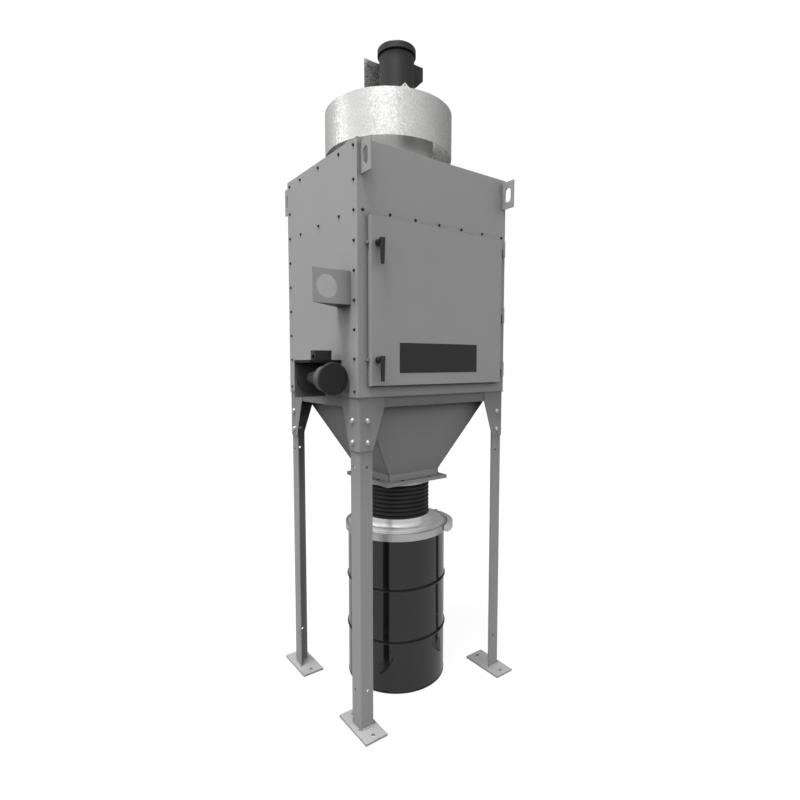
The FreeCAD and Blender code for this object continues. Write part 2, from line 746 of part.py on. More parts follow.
def make_drum():
    """Steel drum: open shell with a raised floor, a rolled rim and two rolling hoops."""
    body = new_body("drum")
    outer = "sizes.drum_radius"
    inner = "sizes.drum_radius - sizes.drum_wall"
    chime = "sizes.drum_radius + sizes.chime_width"
    curl = "sizes.drum_radius + sizes.curl_width"
    floor_low = "sizes.drum_floor_rise"
    floor_top = "sizes.drum_floor_rise + sizes.drum_floor_thickness"
    top = "sizes.drum_height"
    shell = sketch_on(body, "drum_section", "XZ_Plane")
    add_outline(shell, [("0", floor_low), (inner, floor_low), (inner, "0"), (chime, "0"),
                        (chime, "sizes.chime_height"), (outer, floor_top),
                        (outer, top + " - sizes.curl_height - sizes.curl_width"),
                        (curl, top + " - sizes.curl_height"), (curl, top), (inner, top),
                        (inner, floor_top), ("0", floor_top)])
    revolve(body, shell)
    root = "sizes.drum_radius - sizes.drum_wall / 2"
    crest = "sizes.drum_radius + sizes.hoop_height"
    hoop = sketch_on(body, "hoop_section", "XZ_Plane")
    add_outline(hoop, [(root, "sizes.hoop_first - sizes.hoop_foot / 2"),
                       (crest, "sizes.hoop_first - sizes.hoop_crest / 2"),
                       (crest, "sizes.hoop_first + sizes.hoop_crest / 2"),
                       (root, "sizes.hoop_first + sizes.hoop_foot / 2")])
    ring = revolve(body, hoop)
    hoops = body.newObject("PartDesign::LinearPattern", "drum_hoops")
    hoops.Originals = [ring]
    hoops.Direction = (origin_feature(body, "Z_Axis"), [""])
    hoops.Mode = "Spacing"
    hoops.setExpression("Offset", "sizes.hoop_spacing")
    hoops.setExpression("Occurrences", "sizes.hoop_count")
    body.Tip = hoops


def make_panels():
    """Side and back sheets, the sheet above the door and the tube sheet inside."""
    sheet_metal = "sizes.panel_thickness"
    height = "%s - %s" % (WALL_TOP, FLOOR)
    inner_width = "sizes.housing_width - 2 * sizes.panel_thickness"
    inner_x = "sizes.panel_thickness - %s" % HALF_WIDTH
    box("left_panel", sheet_metal, "sizes.housing_depth", height,
        "-(%s)" % HALF_WIDTH, "-(%s)" % HALF_DEPTH, FLOOR)
    box("right_panel", sheet_metal, "sizes.housing_depth", height,
        "%s - sizes.panel_thickness" % HALF_WIDTH, "-(%s)" % HALF_DEPTH, FLOOR)
    box("back_panel", inner_width, sheet_metal, height,
        inner_x, "%s - sizes.panel_thickness" % HALF_DEPTH, FLOOR)
    box("front_upper_panel", inner_width, sheet_metal, "%s - %s" % (WALL_TOP, FRAME_TOP),
        inner_x, "-(%s)" % HALF_DEPTH, FRAME_TOP)
    box("tube_sheet", inner_width, "sizes.housing_depth - 2 * sizes.panel_thickness",
        "sizes.tube_sheet_thickness", inner_x, "sizes.panel_thickness - %s" % HALF_DEPTH,
        "%s + sizes.tube_sheet_rise" % FRAME_TOP)


def make_roof():
    """Roof sheet with the round inlet of the fan."""
    body = new_body("roof_panel")
    outline = sketch_on(body, "roof_outline", "XY_Plane")
    add_centred_rectangle(outline, HALF_WIDTH, HALF_DEPTH)
    add_circle(outline, "sizes.silencer_x", "0", "sizes.fan_inlet_radius")
    pad(body, outline, "sizes.roof_thickness")
    place(body, z=WALL_TOP)


def make_door_frame():
    """Front sheet round the doorway, with its edges returned into the housing."""
    body = new_body("door_frame")
    inner_width = "%s - sizes.panel_thickness" % HALF_WIDTH
    side = "%s - sizes.door_overlap" % HALF_DOOR
    sill = "%s + sizes.door_overlap" % DOOR_BOTTOM
    head = "%s - sizes.door_overlap" % DOOR_TOP
    face = sketch_on(body, "door_frame_face", "XZ_Plane", HALF_DEPTH)
    add_rectangle(face, "-(%s)" % inner_width, inner_width, FLOOR, FRAME_TOP)
    add_rectangle(face, "-(%s)" % side, side, sill, head)
    pad(body, face, "sizes.panel_thickness", backwards=True)
    lining = sketch_on(body, "door_frame_lining", "XZ_Plane",
                       "%s - sizes.panel_thickness" % HALF_DEPTH)
    wall = "sizes.panel_thickness"
    add_rectangle(lining, "-(%s + %s)" % (side, wall), "%s + %s" % (side, wall),
                  "%s - %s" % (sill, wall), "%s + %s" % (head, wall))
    add_rectangle(lining, "-(%s)" % side, side, sill, head)
    pad(body, lining, "sizes.frame_return", backwards=True)


def make_door():
    """Pressed steel door: a thin skin with its four edges folded back."""
    body = new_body("door")
    half = HALF_DOOR
    skin = "sizes.door_skin"
    outline = sketch_on(body, "door_outline", "XZ_Plane", DOOR_BACK)
    add_rectangle(outline, "-" + half, half, DOOR_BOTTOM, DOOR_TOP)
    block = pad(body, outline, "sizes.door_thickness")
    front = -value(block, DOOR_FRONT)
    rounded = fillet(body, block, "sizes.door_edge_radius",
                     lambda e: abs(e.CenterOfMass.y - front) < 0.01)
    hollow = sketch_on(body, "door_hollow", "XZ_Plane", DOOR_BACK)
    add_rectangle(hollow, "%s - %s" % (skin, half), "%s - %s" % (half, skin),
                  "%s + %s" % (DOOR_BOTTOM, skin), "%s - %s" % (DOOR_TOP, skin))
    pocket(body, hollow, "sizes.door_thickness - sizes.door_skin", backwards=True)
    doc.recompute()
    if body.Shape.Volume > 0.5 * rounded.Shape.Volume:
        raise RuntimeError("the door is not hollow")


def make_hinges():
    """Three lift-off hinges: knuckle, pin and leaf on the frame, sleeve and leaf on the door."""
    half = "sizes.hinge_length / 2"
    radius, pin = "sizes.hinge_radius", "sizes.hinge_pin_radius"
    leaf = "sizes.hinge_leaf_thickness / 2"
    gap = "sizes.hinge_clearance"
    fixed = new_body("frame_hinges")
    knuckles = sketch_on(fixed, "knuckle_sections", "XZ_Plane")
    pad_outlines = []
    for middle in HINGES:
        low, high = "%s - %s" % (middle, half), "%s + %s" % (middle, half)
        add_outline(knuckles, [("0", low), (radius, low), (radius, middle), (pin, middle),
                               (pin, high), ("0", high)])
        pad_outlines.append((low, middle))
    revolve(fixed, knuckles)
    leaves = sketch_on(fixed, "frame_leaf_outlines", "YZ_Plane", "-" + leaf)
    reach = "%s - %s" % (HINGE_Y, HALF_DEPTH)
    for low, middle in pad_outlines:
        add_rectangle(leaves, "0", reach, low, middle)
    pad(fixed, leaves, "sizes.hinge_leaf_thickness")
    place(fixed, HINGE_X, "-(%s)" % HINGE_Y, DOOR_BOTTOM)

    moving = new_body("door_hinges")
    sleeves = sketch_on(moving, "sleeve_sections", "XZ_Plane")
    plates = sketch_on(moving, "door_leaf_outlines", "XZ_Plane", "-" + leaf)
    for middle in HINGES:
        low, high = "%s + %s" % (middle, gap), "%s + %s" % (middle, half)
        add_rectangle(sleeves, "%s + %s" % (pin, gap), radius, low, high)
        add_rectangle(plates, "-sizes.hinge_offset_x", "-(%s + %s)" % (pin, radius) + " / 2",
                      low, high)
    revolve(moving, sleeves)
    pad(moving, plates, "sizes.hinge_leaf_thickness")
    place(moving, HINGE_X, "-(%s)" % HINGE_Y, DOOR_BOTTOM)


def make_latch_handle(name, height):
    """Lever on a round hub, hanging down when the door is shut."""
    body = new_body(name)
    head, length = "sizes.latch_lever_head", "sizes.latch_lever_length"
    root, tip = "sizes.latch_lever_root / 2", "sizes.latch_lever_tip / 2"
    hub = sketch_on(body, name + "_hub", "XZ_Plane", "sizes.latch_clearance")
    add_circle(hub, "0", "0", "sizes.latch_hub_radius")
    pad(body, hub, "sizes.latch_standoff")
    lever = sketch_on(body, name + "_lever", "XZ_Plane", "sizes.latch_standoff")
    add_outline(lever, [("-" + root, head), ("-" + tip, "-" + length), (tip, "-" + length),
                        (root, head)])
    blade = pad(body, lever, "sizes.latch_lever_thickness")
    depth = SIZES["latch_standoff"] + SIZES["latch_lever_thickness"]
    fillet(body, blade, "sizes.latch_lever_edge",
           lambda e: abs(e.CenterOfMass.y + depth) < 0.01)
    place(body, LATCH_X, "-(%s)" % DOOR_FRONT, "%s + %s" % (DOOR_BOTTOM, height))


def make_latch_keepers():
    """Blocks on the left post, level with the handles."""
    body = new_body("latch_keepers")
    right = "-(%s + sizes.keeper_gap)" % HALF_DOOR
    left = right + " - sizes.keeper_width"
    sketch = sketch_on(body, "keeper_outlines", "XZ_Plane", HALF_DEPTH)
    for height in LATCHES:
        middle = "%s + %s" % (DOOR_BOTTOM, height)
        add_rectangle(sketch, left, right, middle + " - sizes.keeper_height / 2",
                      middle + " + sizes.keeper_height / 2")
    pad(body, sketch, "sizes.keeper_depth")


def make_lifting_ears():
    """Slotted plates standing out from the front and the back near the top corners."""
    body = new_body("lifting_ears")
    near = HALF_DEPTH
    far = HALF_DEPTH + " + sizes.ear_reach"
    top = "%s - sizes.ear_drop" % ROOF_TOP
    low = "%s - sizes.ear_drop - sizes.ear_height" % ROOF_TOP
    centre = HALF_DEPTH + " + sizes.ear_reach / 2"
    middle = "%s - sizes.ear_drop - sizes.ear_height / 2" % ROOF_TOP
    half_slot = "(sizes.ear_slot_height - sizes.ear_slot_width) / 2"
    face = "%s - sizes.ear_inset - sizes.ear_thickness / 2" % HALF_WIDTH
    sketch = sketch_on(body, "ear_outlines", "YZ_Plane", face)
    for sign in ("-", ""):
        add_rectangle(sketch, "%s(%s)" % (sign, near), "%s(%s)" % (sign, far), low, top)
        add_slot(sketch, "%s(%s)" % (sign, centre), "%s - %s" % (middle, half_slot),
                 "%s + %s" % (middle, half_slot), "sizes.ear_slot_width / 2")
    right_pair = pad(body, sketch, "sizes.ear_thickness")
    left_pair = body.newObject("PartDesign::Mirrored", "left_ears")
    left_pair.Originals = [right_pair]
    left_pair.MirrorPlane = (origin_feature(body, "YZ_Plane"), [""])
    body.Tip = left_pair


def make_gauge_bracket():
    """Front plate with a round hole, stiffened by a triangular gusset above and below."""
    body = new_body("gauge_bracket")
    sheet_metal = "sizes.gauge_sheet"
    face = sketch_on(body, "gauge_face", "XZ_Plane")
    add_rectangle(face, "-sizes.gauge_width", "0", "0", "sizes.gauge_height")
    add_circle(face, "-sizes.gauge_hole_inset", "sizes.gauge_height / 2",
               "sizes.gauge_hole_radius")
    pad(body, face, sheet_metal, backwards=True)
    for tag, level in (("lower", "0"), ("upper", "sizes.gauge_height - " + sheet_metal)):
        gusset = sketch_on(body, "gauge_gusset_" + tag, "XY_Plane", level)
        add_outline(gusset, [("-sizes.gauge_width", "0"), ("0", "0"), ("0", "sizes.gauge_depth")])
        pad(body, gusset, sheet_metal)
    place(body, "-(%s)" % HALF_WIDTH, "sizes.gauge_setback - %s" % HALF_DEPTH,
          "%s + sizes.gauge_bottom" % FLOOR)


def make_shaker_hood():
    """Folded bracket: a lipped shelf and a motor plate, notched over the base flange."""
    body = new_body("shaker_mount")
    thick = "sizes.hood_sheet"
    shelf = sketch_on(body, "shelf_outline", "XY_Plane", "sizes.hood_height")
    add_rectangle(shelf, "-sizes.hood_width", "0", "-sizes.hood_depth", "0")
    pad(body, shelf, "sizes.hood_lip", backwards=True)
    under = sketch_on(body, "shelf_hollow", "XY_Plane", "sizes.hood_height - sizes.hood_lip")
    add_rectangle(under, thick + " - sizes.hood_width", "0", thick + " - sizes.hood_depth", "0")
    pocket(body, under, "sizes.hood_lip - " + thick, backwards=True)
    back = sketch_on(body, "hood_back_plate", "XZ_Plane")
    add_outline(back, [("0", "-sizes.hood_bottom"), ("0", "sizes.hood_height"),
                       ("-sizes.hood_width", "sizes.hood_height"), ("-sizes.hood_width", "0"),
                       ("-sizes.base_flange_reach", "0"),
                       ("-sizes.base_flange_reach", "-sizes.hood_bottom")])
    pad(body, back, thick)
    place(body, "-(%s)" % HALF_WIDTH, "-sizes.hood_back", "%s + sizes.hood_bottom" % FLOOR)


def make_shaker_motor():
    """Motor lying along the housing: flange, end bell, barrel and fan cover on one axis."""
    body = new_body("shaker_motor")
    flange = "sizes.shaker_flange_radius"
    neck, bell = "sizes.shaker_neck_radius", "sizes.shaker_bell_radius"
    barrel, cover = "sizes.shaker_body_radius", "sizes.shaker_cover_radius"
    z1 = "sizes.shaker_flange_length"
    z2 = z1 + " + sizes.shaker_bell_length"
    z3 = z2 + " + sizes.shaker_body_length"
    z4 = z3 + " + sizes.shaker_cover_length"
    section = sketch_on(body, "shaker_section", "XZ_Plane")
    add_outline(section, [("0", "0"), (flange, "0"), (flange, z1), (neck, z1), (bell, z2),
                          (barrel, z2), (barrel, z3), (cover, z3), (cover, z4), ("0", z4)])
    turned = revolve(body, section)
    fillet(body, turned, "sizes.shaker_cover_edge",
           circle_at(SIZES["shaker_cover_radius"], value(body, z4)))
    place(body, "-(%s) - sizes.shaker_offset" % HALF_WIDTH,
          "-sizes.hood_back - sizes.hood_sheet", "%s + sizes.shaker_rise" % FLOOR,
          (FreeCAD.Vector(1, 0, 0), 90))


def make_shaker_terminal_box():
    """Box on the shelf with an open conduit hole in its left side."""
    body = new_body("shaker_terminal_box")
    outline = sketch_on(body, "shaker_box_outline", "XY_Plane")
    add_rectangle(outline, "0", "sizes.shaker_box_width", "0", "sizes.shaker_box_depth")
    block = pad(body, outline, "sizes.shaker_box_height")
    hole = sketch_on(body, "conduit_hole", "YZ_Plane")
    add_circle(hole, "sizes.conduit_hole_setback", "sizes.conduit_hole_rise",
               "sizes.conduit_hole_radius")
    open_box = pocket(body, hole, "sizes.conduit_hole_depth", backwards=True)
    doc.recompute()
    if open_box.Shape.Volume >= block.Shape.Volume:
        raise RuntimeError("the shaker's terminal box has no conduit hole")
    place(body, "-(%s) - sizes.hood_width + sizes.shaker_box_inset_x" % HALF_WIDTH,
          "-sizes.hood_back - sizes.hood_depth + sizes.shaker_box_inset_y", HOOD_TOP)


def make_fan_and_silencer():
    """Round fan housing on the roof, its cover, and the silencer held by four arms of the cover."""
    fan = new_body("fan_housing")
    wall = sketch_on(fan, "fan_housing_section", "XY_Plane")
    add_circle(wall, "0", "0", "sizes.fan_housing_radius")
    add_circle(wall, "0", "0", "sizes.fan_housing_radius - sizes.fan_housing_wall")
    pad(fan, wall, "sizes.silencer_gap + sizes.silencer_height - sizes.deck_thickness")
    place(fan, "sizes.silencer_x", "0", ROOF_TOP)

    ring = new_body("silencer_ring")
    skirt = sketch_on(ring, "silencer_section", "XY_Plane")
    add_circle(skirt, "0", "0", "sizes.silencer_radius")
    add_circle(skirt, "0", "0", "sizes.silencer_radius - sizes.silencer_wall")
    pad(ring, skirt, "sizes.silencer_height")
    place(ring, "sizes.silencer_x", "0", "%s + sizes.silencer_gap" % ROOF_TOP)

    deck = new_body("silencer_deck")
    disc = sketch_on(deck, "deck_outline", "XY_Plane")
    add_circle(disc, "0", "0", "sizes.fan_housing_radius")
    pad(deck, disc, "sizes.deck_thickness")
    half = "sizes.lug_width / 2"
    bore = "(sizes.silencer_radius - sizes.silencer_wall)"
    reach = "sqrt(%s ^ 2 - (%s) ^ 2) - sizes.deck_clearance" % (bore, half)
    strip = sketch_on(deck, "arm_outline", "XY_Plane")
    add_rectangle(strip, "sizes.deck_arm_root", reach, "-" + half, half)
    arm = pad(deck, strip, "sizes.deck_thickness")
    arms = quarter_turns(deck, arm, "arm_pattern")
    deck.Tip = arms
    place(deck, "sizes.silencer_x", "0", "%s - sizes.deck_thickness" % DECK_TOP,
          (UP, SIZES["lug_turn_angle"]))


def make_deck_lugs():
    """Four pointed lugs on the ends of the arms, just inside the silencer's rim."""
    body = new_body("deck_lugs")
    half = "sizes.lug_width / 2"
    reach = "sizes.silencer_radius - sizes.silencer_wall - sizes.lug_inset - sizes.lug_thickness"
    outline = sketch_on(body, "lug_outline", "YZ_Plane", reach)
    add_outline(outline, [("-" + half, "0"), (half, "0"), ("0", "sizes.lug_height")])
    add_circle(outline, "0", "sizes.lug_hole_rise", "sizes.lug_hole_radius")
    lug = pad(body, outline, "sizes.lug_thickness")
    body.Tip = quarter_turns(body, lug, "lug_pattern")
    place(body, "sizes.silencer_x", "0", DECK_TOP, (UP, SIZES["lug_turn_angle"]))


def make_fan_motor():
    """Upright motor: foot flange, smooth barrel, groove and domed cap on one axis."""
    body = new_body("fan_motor")
    barrel, cap = "sizes.motor_radius", "sizes.motor_cap_radius"
    foot = "sizes.motor_foot_radius"
    top = "sizes.motor_height"
    cap_low = top + " - sizes.motor_cap_height"
    groove_low = cap_low + " - sizes.motor_groove_height"
    neck = barrel + " - sizes.motor_groove_depth"
    section = sketch_on(body, "fan_motor_section", "XZ_Plane")
    add_outline(section, [("0", "0"), (foot, "0"), (foot, "sizes.motor_foot_height"),
                          (barrel, "sizes.motor_foot_height"), (barrel, groove_low),
                          (neck, groove_low), (neck, cap_low), (cap, cap_low), (cap, top),
                          ("0", top)])
    turned = revolve(body, section)
    fillet(body, turned, "sizes.motor_cap_edge",
           circle_at(SIZES["motor_cap_radius"], SIZES["motor_height"]))
    place(body, "sizes.motor_x", "0", DECK_TOP)


def make_fan_terminal_box():
    """Box on the motor's right side with its lower outer edge cut off."""
    body = new_body("fan_terminal_box")
    near = "sqrt(sizes.motor_radius ^ 2 - (sizes.motor_box_width / 2) ^ 2)"
    far = "sizes.motor_radius + sizes.motor_box_reach"
    low, high = "sizes.motor_box_bottom", "sizes.motor_box_bottom + sizes.motor_box_height"
    cut = "sizes.motor_box_chamfer"
    outline = sketch_on(body, "fan_box_outline", "XZ_Plane", "-sizes.motor_box_width / 2")
    add_outline(outline, [(near, low), ("%s - %s" % (far, cut), low),
                          (far, "%s + %s" % (low, cut)), (far, high), (near, high)])
    block = pad(body, outline, "sizes.motor_box_width")
    bore = sketch_on(body, "fan_box_seat", "XY_Plane")
    add_circle(bore, "0", "0", "sizes.motor_radius + sizes.motor_box_clearance")
    seat = pocket(body, bore, "sizes.motor_height", backwards=True)
    doc.recompute()
    if seat.Shape.Volume >= block.Shape.Volume:
        raise RuntimeError("the terminal box has no round seat")
    place(body, "sizes.motor_x", "0", DECK_TOP)


def make_motor_mount_plate():
    """Upright plate on the deck behind the motor."""
    box("motor_mount_plate", "sizes.mount_plate_left + sizes.mount_plate_right",
        "sizes.mount_plate_thickness", "sizes.mount_plate_height",
        "sizes.motor_x - sizes.mount_plate_left", "sizes.motor_foot_radius", DECK_TOP)


for corner, sx, sy, degrees in CORNERS:
    make_foot_plate(corner, sx, sy)
    make_leg(corner, sx, sy, degrees)
    make_leg_bracket(corner, sx, sy, degrees)
make_base_frame()
make_hopper()
make_flange_plates()
make_hose()
make_clamp_band()
make_lid_spigot()
make_lid()
make_clamp_ring()
make_clamp_lever()
make_drum()
make_panels()
make_roof()
make_door_frame()
make_door()
make_hinges()
make_latch_handle("lower_latch_handle", LATCHES[0])
make_latch_handle("upper_latch_handle", LATCHES[1])
make_latch_keepers()
make_lifting_ears()
make_gauge_bracket()
make_shaker_hood()
make_shaker_motor()
make_shaker_terminal_box()
make_fan_and_silencer()
make_deck_lugs()
make_fan_motor()
make_fan_terminal_box()
make_motor_mount_plate()

doc.recompute()
for item in doc.Objects:
    if "Invalid" in item.State or "Error" in item.State:
        raise RuntimeError("%s failed: %s" % (item.Name, item.State))
for part in parts:
    if part.Shape.isNull() or not part.Shape.isValid():
        raise RuntimeError("%s has no valid shape" % part.Label)

os.makedirs("parts", exist_ok=True)
for part in parts:
    part.Shape.exportStep("parts/%s.step" % part.Label)
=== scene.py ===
import math

import bmesh
import bpy
import numpy as np
from mathutils import Euler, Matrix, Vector


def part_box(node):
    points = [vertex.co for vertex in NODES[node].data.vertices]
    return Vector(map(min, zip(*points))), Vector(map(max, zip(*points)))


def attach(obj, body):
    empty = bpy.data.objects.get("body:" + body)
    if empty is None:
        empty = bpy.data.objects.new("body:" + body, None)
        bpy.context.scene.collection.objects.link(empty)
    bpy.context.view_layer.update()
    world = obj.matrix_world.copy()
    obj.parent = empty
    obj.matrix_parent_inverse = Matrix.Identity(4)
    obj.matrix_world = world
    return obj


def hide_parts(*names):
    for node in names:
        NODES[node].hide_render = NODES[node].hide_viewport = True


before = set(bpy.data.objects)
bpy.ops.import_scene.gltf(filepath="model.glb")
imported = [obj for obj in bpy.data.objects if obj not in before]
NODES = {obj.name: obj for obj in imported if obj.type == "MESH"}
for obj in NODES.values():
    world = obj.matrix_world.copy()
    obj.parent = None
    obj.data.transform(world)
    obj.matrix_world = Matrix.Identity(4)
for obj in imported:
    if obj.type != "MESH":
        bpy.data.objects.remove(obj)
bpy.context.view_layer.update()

bl_info = {
    "name": "Shaker dust collector finish",
    "version": (1, 0, 0),
    "blender": (4, 5, 0),
    "location": "View3D > Sidebar > Dust Collector",
    "description": "Fasteners, hose, drum, welds and finishes of an upright shaker dust collector",
    "category": "Object",
}

CORNERS = ("front_left", "front_right", "back_right", "back_left")
FINISHES = {}


def low_corner(node):
    """Lowest corner of a frame node's box, in metres."""
    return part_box(node)[0]


def high_corner(node):
    """Highest corner of a frame node's box, in metres."""
    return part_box(node)[1]


# Properties


def length_setting(name, description, default):
    """Property for a length in metres."""
    return bpy.props.FloatProperty(name=name, description=description, subtype="DISTANCE",
                                   unit="LENGTH", default=default)


def angle_setting(name, description, degrees):
    """Property for an angle, given here in degrees."""
    return bpy.props.FloatProperty(name=name, description=description, subtype="ANGLE",
                                   unit="ROTATION", default=math.radians(degrees))


def share_setting(name, description, default):
    """Property for a number from 0 to 1."""
    return bpy.props.FloatProperty(name=name, description=description, subtype="FACTOR", min=0,
                                   max=1, default=default)


def light_setting(name, description, default):
    """Property for a strength that is never below 0."""
    return bpy.props.FloatProperty(name=name, description=description, min=0, default=default)


def colour_setting(name, description, default):
    """Property for a colour: its red, green and blue."""
    return bpy.props.FloatVectorProperty(name=name, description=description, subtype="COLOR",
                                         size=3, min=0, max=1, default=default)


def direction_setting(name, description, default):
    """Property for a direction, of any length."""
    return bpy.props.FloatVectorProperty(name=name, description=description,
                                         subtype="DIRECTION", size=3, default=default)


# Shapes


class PieceSizes(bpy.types.PropertyGroup):
    """Sizes of the pieces that the frame doesn't hold."""

    screw_washer: length_setting(
        "Screw washer", "Diameter of the washer face of a panel screw", 0.016)
    screw_flats: length_setting("Screw head", "Width across flats of a panel screw", 0.009)
    screw_height: length_setting("Screw height", "Height of a panel screw's head", 0.007)
    screw_edge: length_setting(
        "Screw edge distance", "From a panel's edge to its outer screws", 0.030)
    screw_end: length_setting(
        "Screw end distance", "From a panel's end to its first and last screws", 0.026)
    screw_pitch: length_setting("Screw pitch", "Spacing of the screws down a panel's edge", 0.138)
    side_row_lift: length_setting(
        "Screw row lift", "From a panel's middle up to its middle screw", 0.001)
    side_row_pitch: length_setting(
        "Side row pitch", "Spacing of the screws across a side panel", 0.2135)
    front_row_pitch: length_setting(
        "Front row pitch", "Spacing of the screws above the door", 0.155)
    dome_diameter: length_setting(
        "Dome", "Diameter of the domed bolt heads on the leg brackets", 0.024)
    dome_height: length_setting("Dome height", "Height of the domed bolt heads", 0.0115)
    washer_diameter: length_setting(
        "Washer", "Diameter of the washers under the domed heads", 0.030)
    washer_thickness: length_setting("Washer thickness", "Thickness of the washers", 0.0025)
    bolt_inset: length_setting(
        "Bracket bolt inset", "From the housing's corner to the bolts of a leg", 0.051)
    bolt_drop: length_setting(
        "Bracket bolt drop", "From the top of a bracket to its upper bolts", 0.110)
    bolt_pitch: length_setting(
        "Bracket bolt pitch", "Between the upper and lower bolts of a bracket", 0.105)
    leg_wall: length_setting("Leg and bracket wall", "Bracket and leg thickness together", 0.011)
    nut_flats: length_setting(
        "Nut", "Width across flats of the nuts behind the leg brackets", 0.017)
    nut_height: length_setting("Nut height", "Height of the nuts behind the leg brackets", 0.008)
    flange_bolt_flats: length_setting(
        "Flange bolt", "Width across flats of the flange bolts' heads", 0.013)
    flange_bolt_height: length_setting(
        "Flange bolt height", "Height of the flange bolts' heads", 0.004)
    flange_bolt_edge: length_setting(
        "Flange bolt edge distance", "From the flange's edge to its bolts", 0.0175)
    flange_bolt_offset: length_setting(
        "Flange bolt offset", "From the middle of a flange side to its bolts", 0.096)
    plate_left: length_setting(
        "Plate left", "From the door's middle to the plate's left edge", 0.274)
    plate_right: length_setting(
        "Plate right", "From the door's middle to the plate's right edge", 0.249)
    plate_rise: length_setting("Plate rise", "From the door's lower edge to the plate", 0.061)
    plate_height: length_setting("Plate height", "Height of the plate", 0.148)
    plate_thickness: length_setting("Plate thickness", "Thickness of the plate", 0.0012)
    seal_width: length_setting(
        "Door seal width", "Width of the seal on the back of the door", 0.014)
    seal_inset: length_setting(
        "Door seal inset", "From the door's edge to the middle of the seal", 0.0125)
    hose_ribs: bpy.props.IntProperty(
        name="Hose ribs", description="Ribs between the two cuffs of the hose", default=8)
    hose_depth: length_setting(
        "Hose rib depth", "From a rib's crest down to the valley beside it", 0.009)
    hose_wall: length_setting("Hose wall", "From the valleys to the bore of the hose", 0.002)
    drum_radius: length_setting("Drum radius", "Outside radius of the drum's body", 0.286)
    drum_wall: length_setting("Drum wall", "Thickness of the drum's sheet", 0.002)
    hoop_spacing: length_setting(
        "Hoop spacing", "From the floor to the first hoop, and on to the next", 0.296)
    bead_width: length_setting("Weld bead", "Width of the weld beads at the feet", 0.006)
    seam_radius: length_setting(
        "Hopper seam", "Radius of the seam down each corner of the hopper", 0.0018)
    throat_height: length_setting(
        "Throat height", "From the hopper's lower end up to its slopes", 0.037)
    throat_half: length_setting(
        "Throat half width", "From the hopper's middle to a side of its throat", 0.175)


def grid_faces(rows, columns, close_rows=True, close_columns=False):
    """Quads of a grid of points, each the numbers of four neighbours; a closed side runs round."""
    row = np.arange(rows if close_rows else rows - 1)
    column = np.arange(columns if close_columns else columns - 1)
    row, column = (part.ravel() for part in np.meshgrid(row, column, indexing="ij"))
    next_row, next_column = (row + 1) % rows, (column + 1) % columns
    return np.stack([row * columns + column, next_row * columns + column,
                     next_row * columns + next_column, row * columns + next_column], axis=1)


def soften(corners, radii, steps):
    """Closed outline with rounded corners.

    Near corner P the line is (1 - t)² (P + r a) + 2 t (1 - t) P + t² (P + r b), with a and b the
    unit directions to its neighbours and r its radius, never over 0.48 of a side.
    """
    corners = np.asarray(corners, float)
    before, after = np.roll(corners, 1, axis=0) - corners, np.roll(corners, -1, axis=0) - corners
    length_before = np.linalg.norm(before, axis=1, keepdims=True)
    length_after = np.linalg.norm(after, axis=1, keepdims=True)
    reach = np.minimum(np.asarray(radii, float)[:, None],
                       0.48 * np.minimum(length_before, length_after))
    start = (corners + reach * before / length_before)[:, None, :]
    end = (corners + reach * after / length_after)[:, None, :]
    t = np.linspace(0, 1, steps)[None, :, None]
    curve = (1 - t) ** 2 * start + 2 * t * (1 - t) * corners[:, None, :] + t ** 2 * end
    return curve.reshape(-1, 2)


def around(count):
    """Angles evenly round a circle, as a column."""
    return np.linspace(0, 2 * np.pi, count, endpoint=False)[:, None]


def about_axis(radius, height, angle):
    """The points (r cos a, r sin a, z) for each angle and each place of a profile."""
    sides = (radius * np.cos(angle), radius * np.sin(angle), height)
    return np.stack(np.broadcast_arrays(*sides), axis=-1).reshape(-1, 3)


def turned(profile, count):
    """Closed profile (r, z) turned about Z."""
    points = about_axis(profile[:, 0], profile[:, 1], around(count))
    return points, grid_faces(count, len(profile), True, True)


def hexagonal(rings, flats, count=24):
    """Stack of rings (r, z, h) about Z, each closed on itself.

    A ring's radius at angle a is (1 - h) r + h (flats / 2) / cos(a'), with a' the angle from the
    middle of the nearest flat, so h takes it from a circle at 0 to a hexagon at 1.
    """
    circle, height, share = np.asarray(rings, float).T
    angle = around(count)
    flat = flats / 2 / np.cos((angle + np.pi / 6) % (np.pi / 3) - np.pi / 6)
    points = about_axis((1 - share) * circle + share * flat, height, angle)
    return points, grid_faces(count, len(rings))


def copies(shape, places, directions):
    """One shape set at each place with its Z along the direction there: R p + place, with R made
    of the direction and two vectors square to it."""
    points, faces = shape
    places, directions = np.asarray(places, float), np.asarray(directions, float)
    upright = np.abs(directions[:, 2:3]) > 0.9
    helper = np.where(upright, (1.0, 0.0, 0.0), (0.0, 0.0, 1.0))
    across = np.cross(helper, directions)
    turns = np.stack([across, np.cross(directions, across), directions], axis=-1)
    moved = np.einsum("mij,nj->mni", turns, points) + places[:, None, :]
    numbers = faces[None, :, :] + len(points) * np.arange(len(places))[:, None, None]
    return moved.reshape(-1, 3), numbers.reshape(-1, faces.shape[1])


def carried(path, outward, across, profile):
    """Profile (a, b) carried along a closed path: C + a N + b B, with C a point of the path, N its
    outward direction there and B the fixed direction across it."""
    a, b = profile.T[:, None, :, None]
    points = path[:, None, :] + a * outward[:, None, :] + b * np.asarray(across, float)
    return points.reshape(-1, 3), grid_faces(len(path), len(profile), True, True)


